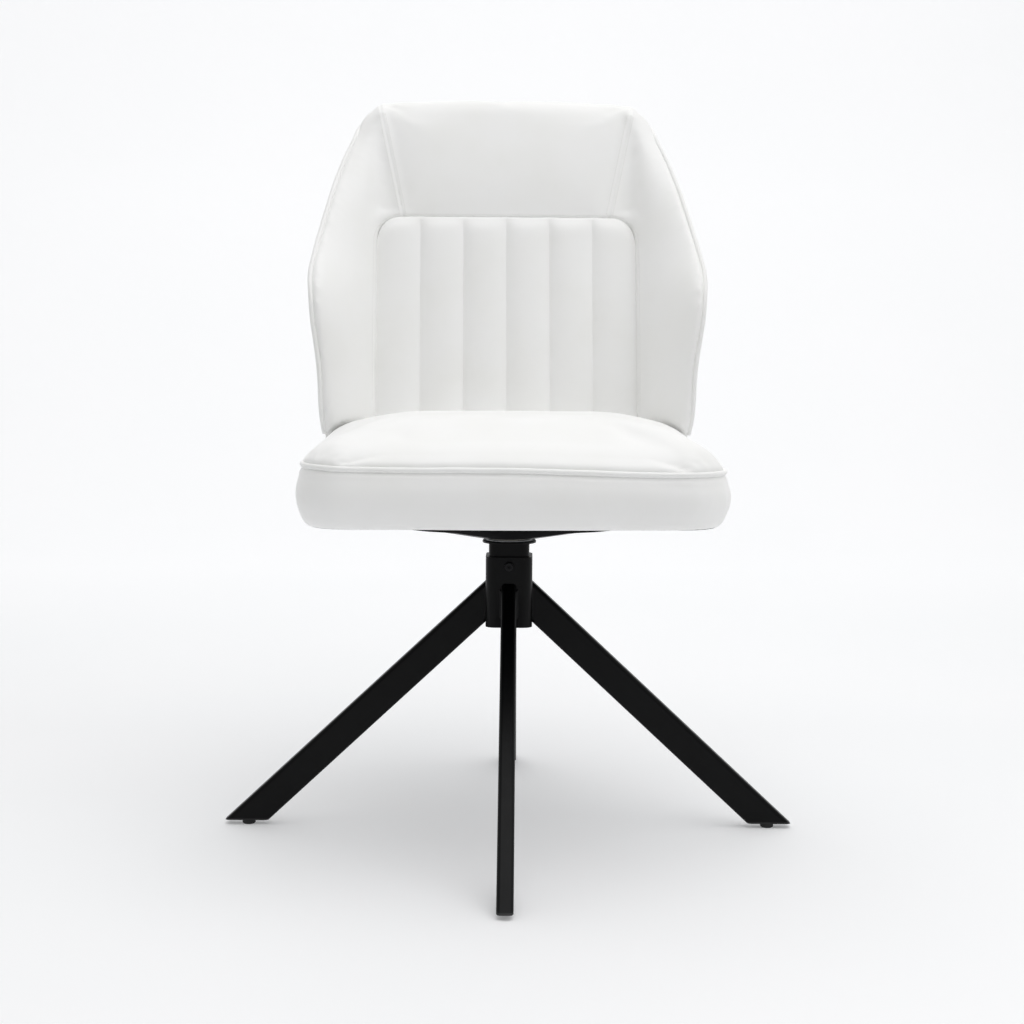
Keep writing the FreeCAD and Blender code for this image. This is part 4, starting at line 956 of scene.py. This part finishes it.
class ChairSizes(bpy.types.PropertyGroup):
    voxel_large: bpy.props.FloatProperty(
        name="Large grid", description="Spacing of the cloth grid on the seat and outer cover",
        default=0.0060, min=0.003, unit="LENGTH")
    voxel_back: bpy.props.FloatProperty(
        name="Back grid", description="Spacing of the cloth grid on the sleeve of the back",
        default=0.0064, min=0.003, unit="LENGTH")
    swell: bpy.props.FloatProperty(
        name="Swell", description="The furthest that the foam pushes its cover out",
        default=0.008, min=0, unit="LENGTH")
    piping: bpy.props.FloatProperty(
        name="Piping", description="Diameter of the covered cord in the seams", default=0.006, unit="LENGTH")
    camera_height: bpy.props.FloatProperty(
        name="Camera height", description="Height of the camera above the floor", default=0.5863, unit="LENGTH")
    camera_distance: bpy.props.FloatProperty(
        name="Camera distance", description="Level distance from the swivel axis to the camera",
        default=1.9975, unit="LENGTH")


class ChairColours(bpy.types.PropertyGroup):
    key_light: bpy.props.FloatProperty(
        name="Key light", description="Power of the large soft box in front", default=55, min=0, unit="POWER")
    room_light: bpy.props.FloatProperty(
        name="Room light", description="Strength of the even white surroundings", default=0.56, min=0)


class CHAIR_OT_seat(bpy.types.Operator):
    """The crowned seat cushion with its piped seam"""
    bl_idname = "chair.seat"
    bl_label = "Seat cushion"

    def execute(self, context):
        cushion = make_cushion(sizes_of(context), upholstery())
        make_seat_piping(sizes_of(context), upholstery(), cushion)
        return {"FINISHED"}


class CHAIR_OT_back(bpy.types.Operator):
    """The channelled panel, the sewn sleeve round it, its piping and its stitches"""
    bl_idname = "chair.back"
    bl_label = "Back"

    def execute(self, context):
        sizes = sizes_of(context)
        make_panel(sizes, upholstery())
        sleeve = make_back_cover(sizes, upholstery())
        make_back_piping(sizes, upholstery(), sleeve)
        make_stitches(sleeve, material_for("bonded_polyester_thread", bonded_thread, "F6F6F4", "DEDEDA"))
        return {"FINISHED"}


class CHAIR_OT_lining(bpy.types.Operator):
    """The black cloth under the seat and its staples"""
    bl_idname = "chair.lining"
    bl_label = "Lining"

    def execute(self, context):
        make_lining(material_for("bonded_lining_cloth", bonded_cloth))
        make_staples(material_for("zinc_plated_steel", plated_steel, "BFC3C6", "9DA2A6", 0.34))
        return {"FINISHED"}


class CHAIR_OT_base(bpy.types.Operator):
    """The finishes of the steel, plastic and wooden parts of the construction model"""
    bl_idname = "chair.base"
    bl_label = "Base and hardware"

    def execute(self, context):
        finishes = {
            "black_powder_coat": material_for("satin_powder_coat", powder_coat, "060708", "040405"),
            "black_moulding": material_for("moulded_polypropylene", moulded_plastic, "141416", "0E0E10", 0.5),
            "black_screw": material_for("blacked_steel", powder_coat, "1A1A1C", "121214"),
            "pale_bearing_plastic": material_for("moulded_acetal", moulded_plastic, "EDEADF", "E0DCCF", 0.35),
            "bright_steel": material_for("ground_steel", plated_steel, "C9CACC", "A9ABAE", 0.22),
            "zinc_steel": material_for("zinc_plated_steel", plated_steel, "BFC3C6", "9DA2A6", 0.34),
            "plywood": material_for("birch_plywood", birch_plywood),
            "lining_cloth": material_for("bonded_lining_cloth", bonded_cloth),
            "white_upholstery": upholstery(),
        }
        slots = {row["node"]: row["material_slot"] for row in frame["record"]["subparts"]}
        for node, piece in NODES.items():
            for slot in piece.material_slots:
                slot.material = finishes[slots[node]]
        return {"FINISHED"}


def soft_box(name, place_m, aim, size, power, tint=(1, 1, 1)):
    light = bpy.data.lights.new(name, "AREA")
    light.shape = "RECTANGLE"
    light.size, light.size_y = size
    light.energy = power
    light.color = tint
    item = bpy.data.objects.new(name, light)
    item.location = place_m
    item.rotation_mode = "QUATERNION"
    item.rotation_quaternion = (Vector(aim) - Vector(place_m)).to_track_quat("-Z", "Y")
    bpy.context.scene.collection.objects.link(item)
    return item


class CHAIR_OT_stage(bpy.types.Operator):
    """The pale floor, the soft lights and the camera"""
    bl_idname = "chair.stage"
    bl_label = "Stage"

    def execute(self, context):
        sizes, colours = sizes_of(context), colours_of(context)
        bpy.ops.object.select_all(action="DESELECT")
        bpy.ops.mesh.primitive_plane_add(size=1, location=(0, 0, 0))
        floor = context.object
        floor.name = "studio_floor"
        floor.scale = (14, 9, 1)
        bpy.ops.object.transform_apply(scale=True)
        bpy.ops.object.mode_set(mode="EDIT")
        shell = bmesh.from_edit_mesh(floor.data)
        for edge in shell.edges:
            edge.select = all(vert.co.y > 4 for vert in edge.verts)
        shell.select_flush(True)
        bmesh.update_edit_mesh(floor.data)
        bpy.ops.mesh.extrude_edges_move(TRANSFORM_OT_translate={"value": (0, 0, 5)})
        bpy.ops.object.mode_set(mode="OBJECT")
        finish_modifier(floor, "BEVEL", width=2.2, segments=14, limit_method="ANGLE")
        bpy.ops.object.shade_smooth()
        floor.data.materials.append(material_for("studio_floor_paper", studio_paper, "E4E4E5", "E1E2E3"))
        world = bpy.data.worlds.new("studio_room")
        world.use_nodes = True
        # the room is dim in front of the chair and bright behind it
        tree = world.node_tree
        background = tree.nodes["Background"]
        background.inputs["Color"].default_value = (1, 1, 1, 1)
        where = add_node(tree, "ShaderNodeTexCoord").outputs["Generated"]
        depth = add_node(tree, "ShaderNodeSeparateXYZ", Vector=where).outputs["Y"]
        glow = add_node(tree, "ShaderNodeMapRange", {
            "From Min": -1.0, "From Max": 1.0, "To Min": 0.34 * colours.room_light,
            "To Max": 1.45 * colours.room_light}, Value=depth)
        # looked at directly, the room is an even near-white
        seen = add_node(tree, "ShaderNodeLightPath").outputs["Is Camera Ray"]
        strength = add_node(tree, "ShaderNodeMix", {"data_type": "FLOAT"})
        tree.links.new(seen, strength.inputs["Factor"])
        tree.links.new(glow.outputs["Result"], strength.inputs["A"])
        strength.inputs["B"].default_value = 0.9
        tree.links.new(strength.outputs["Result"], background.inputs["Strength"])
        context.scene.world = world
        power = colours.key_light
        soft_box("soft_box_key", (0.8, -1.0, 3.1), (0, 0, 0.5), (3.6, 3.6), power)
        soft_box("soft_box_top", (-0.4, 0.5, 3.2), (0, 0.1, 0.5), (3.6, 3.6), 0.35 * power)
        camera = bpy.data.cameras.new("camera")
        camera.sensor_width = 36
        camera.lens = 36 * 1681.7 / 1024
        camera.clip_end = 100
        item = bpy.data.objects.new("camera", camera)
        context.scene.collection.objects.link(item)
        turn, pitch, roll = math.radians(1.68), math.radians(5.83), 0.0060
        aside = 0.0030
        item.location = (aside * math.cos(turn) - sizes.camera_distance * math.sin(turn),
                         -aside * math.sin(turn) - sizes.camera_distance * math.cos(turn), sizes.camera_height)
        ahead = Vector((math.sin(turn) * math.cos(pitch), math.cos(turn) * math.cos(pitch), -math.sin(pitch)))
        item.rotation_mode = "QUATERNION"
        item.rotation_quaternion = ahead.to_track_quat("-Z", "Y") @ Quaternion((0, 0, 1), roll)
        context.scene.camera = item
        context.scene.view_settings.view_transform = "Standard"
        return {"FINISHED"}


class CHAIR_PT_panel(bpy.types.Panel):
    """The chair's sizes, lights and pieces"""
    bl_idname = "CHAIR_PT_panel"
    bl_label = "Swivel dining chair"
    bl_space_type = "VIEW_3D"
    bl_region_type = "UI"
    bl_category = "Chair"

    def draw(self, context):
        for group in (sizes_of(context), colours_of(context)):
            for name in group.__annotations__:
                self.layout.prop(group, name)
        for operator in OPERATORS:
            self.layout.operator(operator.bl_idname)


OPERATORS = (CHAIR_OT_base, CHAIR_OT_seat, CHAIR_OT_lining, CHAIR_OT_back, CHAIR_OT_stage)
CLASSES = (ChairSizes, ChairColours, *OPERATORS, CHAIR_PT_panel)


def register():
    for cls in CLASSES:
        bpy.utils.register_class(cls)
    bpy.types.Scene.chair_sizes = bpy.props.PointerProperty(type=ChairSizes)
    bpy.types.Scene.chair_colours = bpy.props.PointerProperty(type=ChairColours)


def unregister():
    del bpy.types.Scene.chair_colours
    del bpy.types.Scene.chair_sizes
    for cls in reversed(CLASSES):
        bpy.utils.unregister_class(cls)


def main():
    register()
    bpy.ops.chair.base()
    bpy.ops.chair.seat()
    bpy.ops.chair.lining()
    bpy.ops.chair.back()
    bpy.ops.chair.stage()


if __name__ == "__main__":
    main()
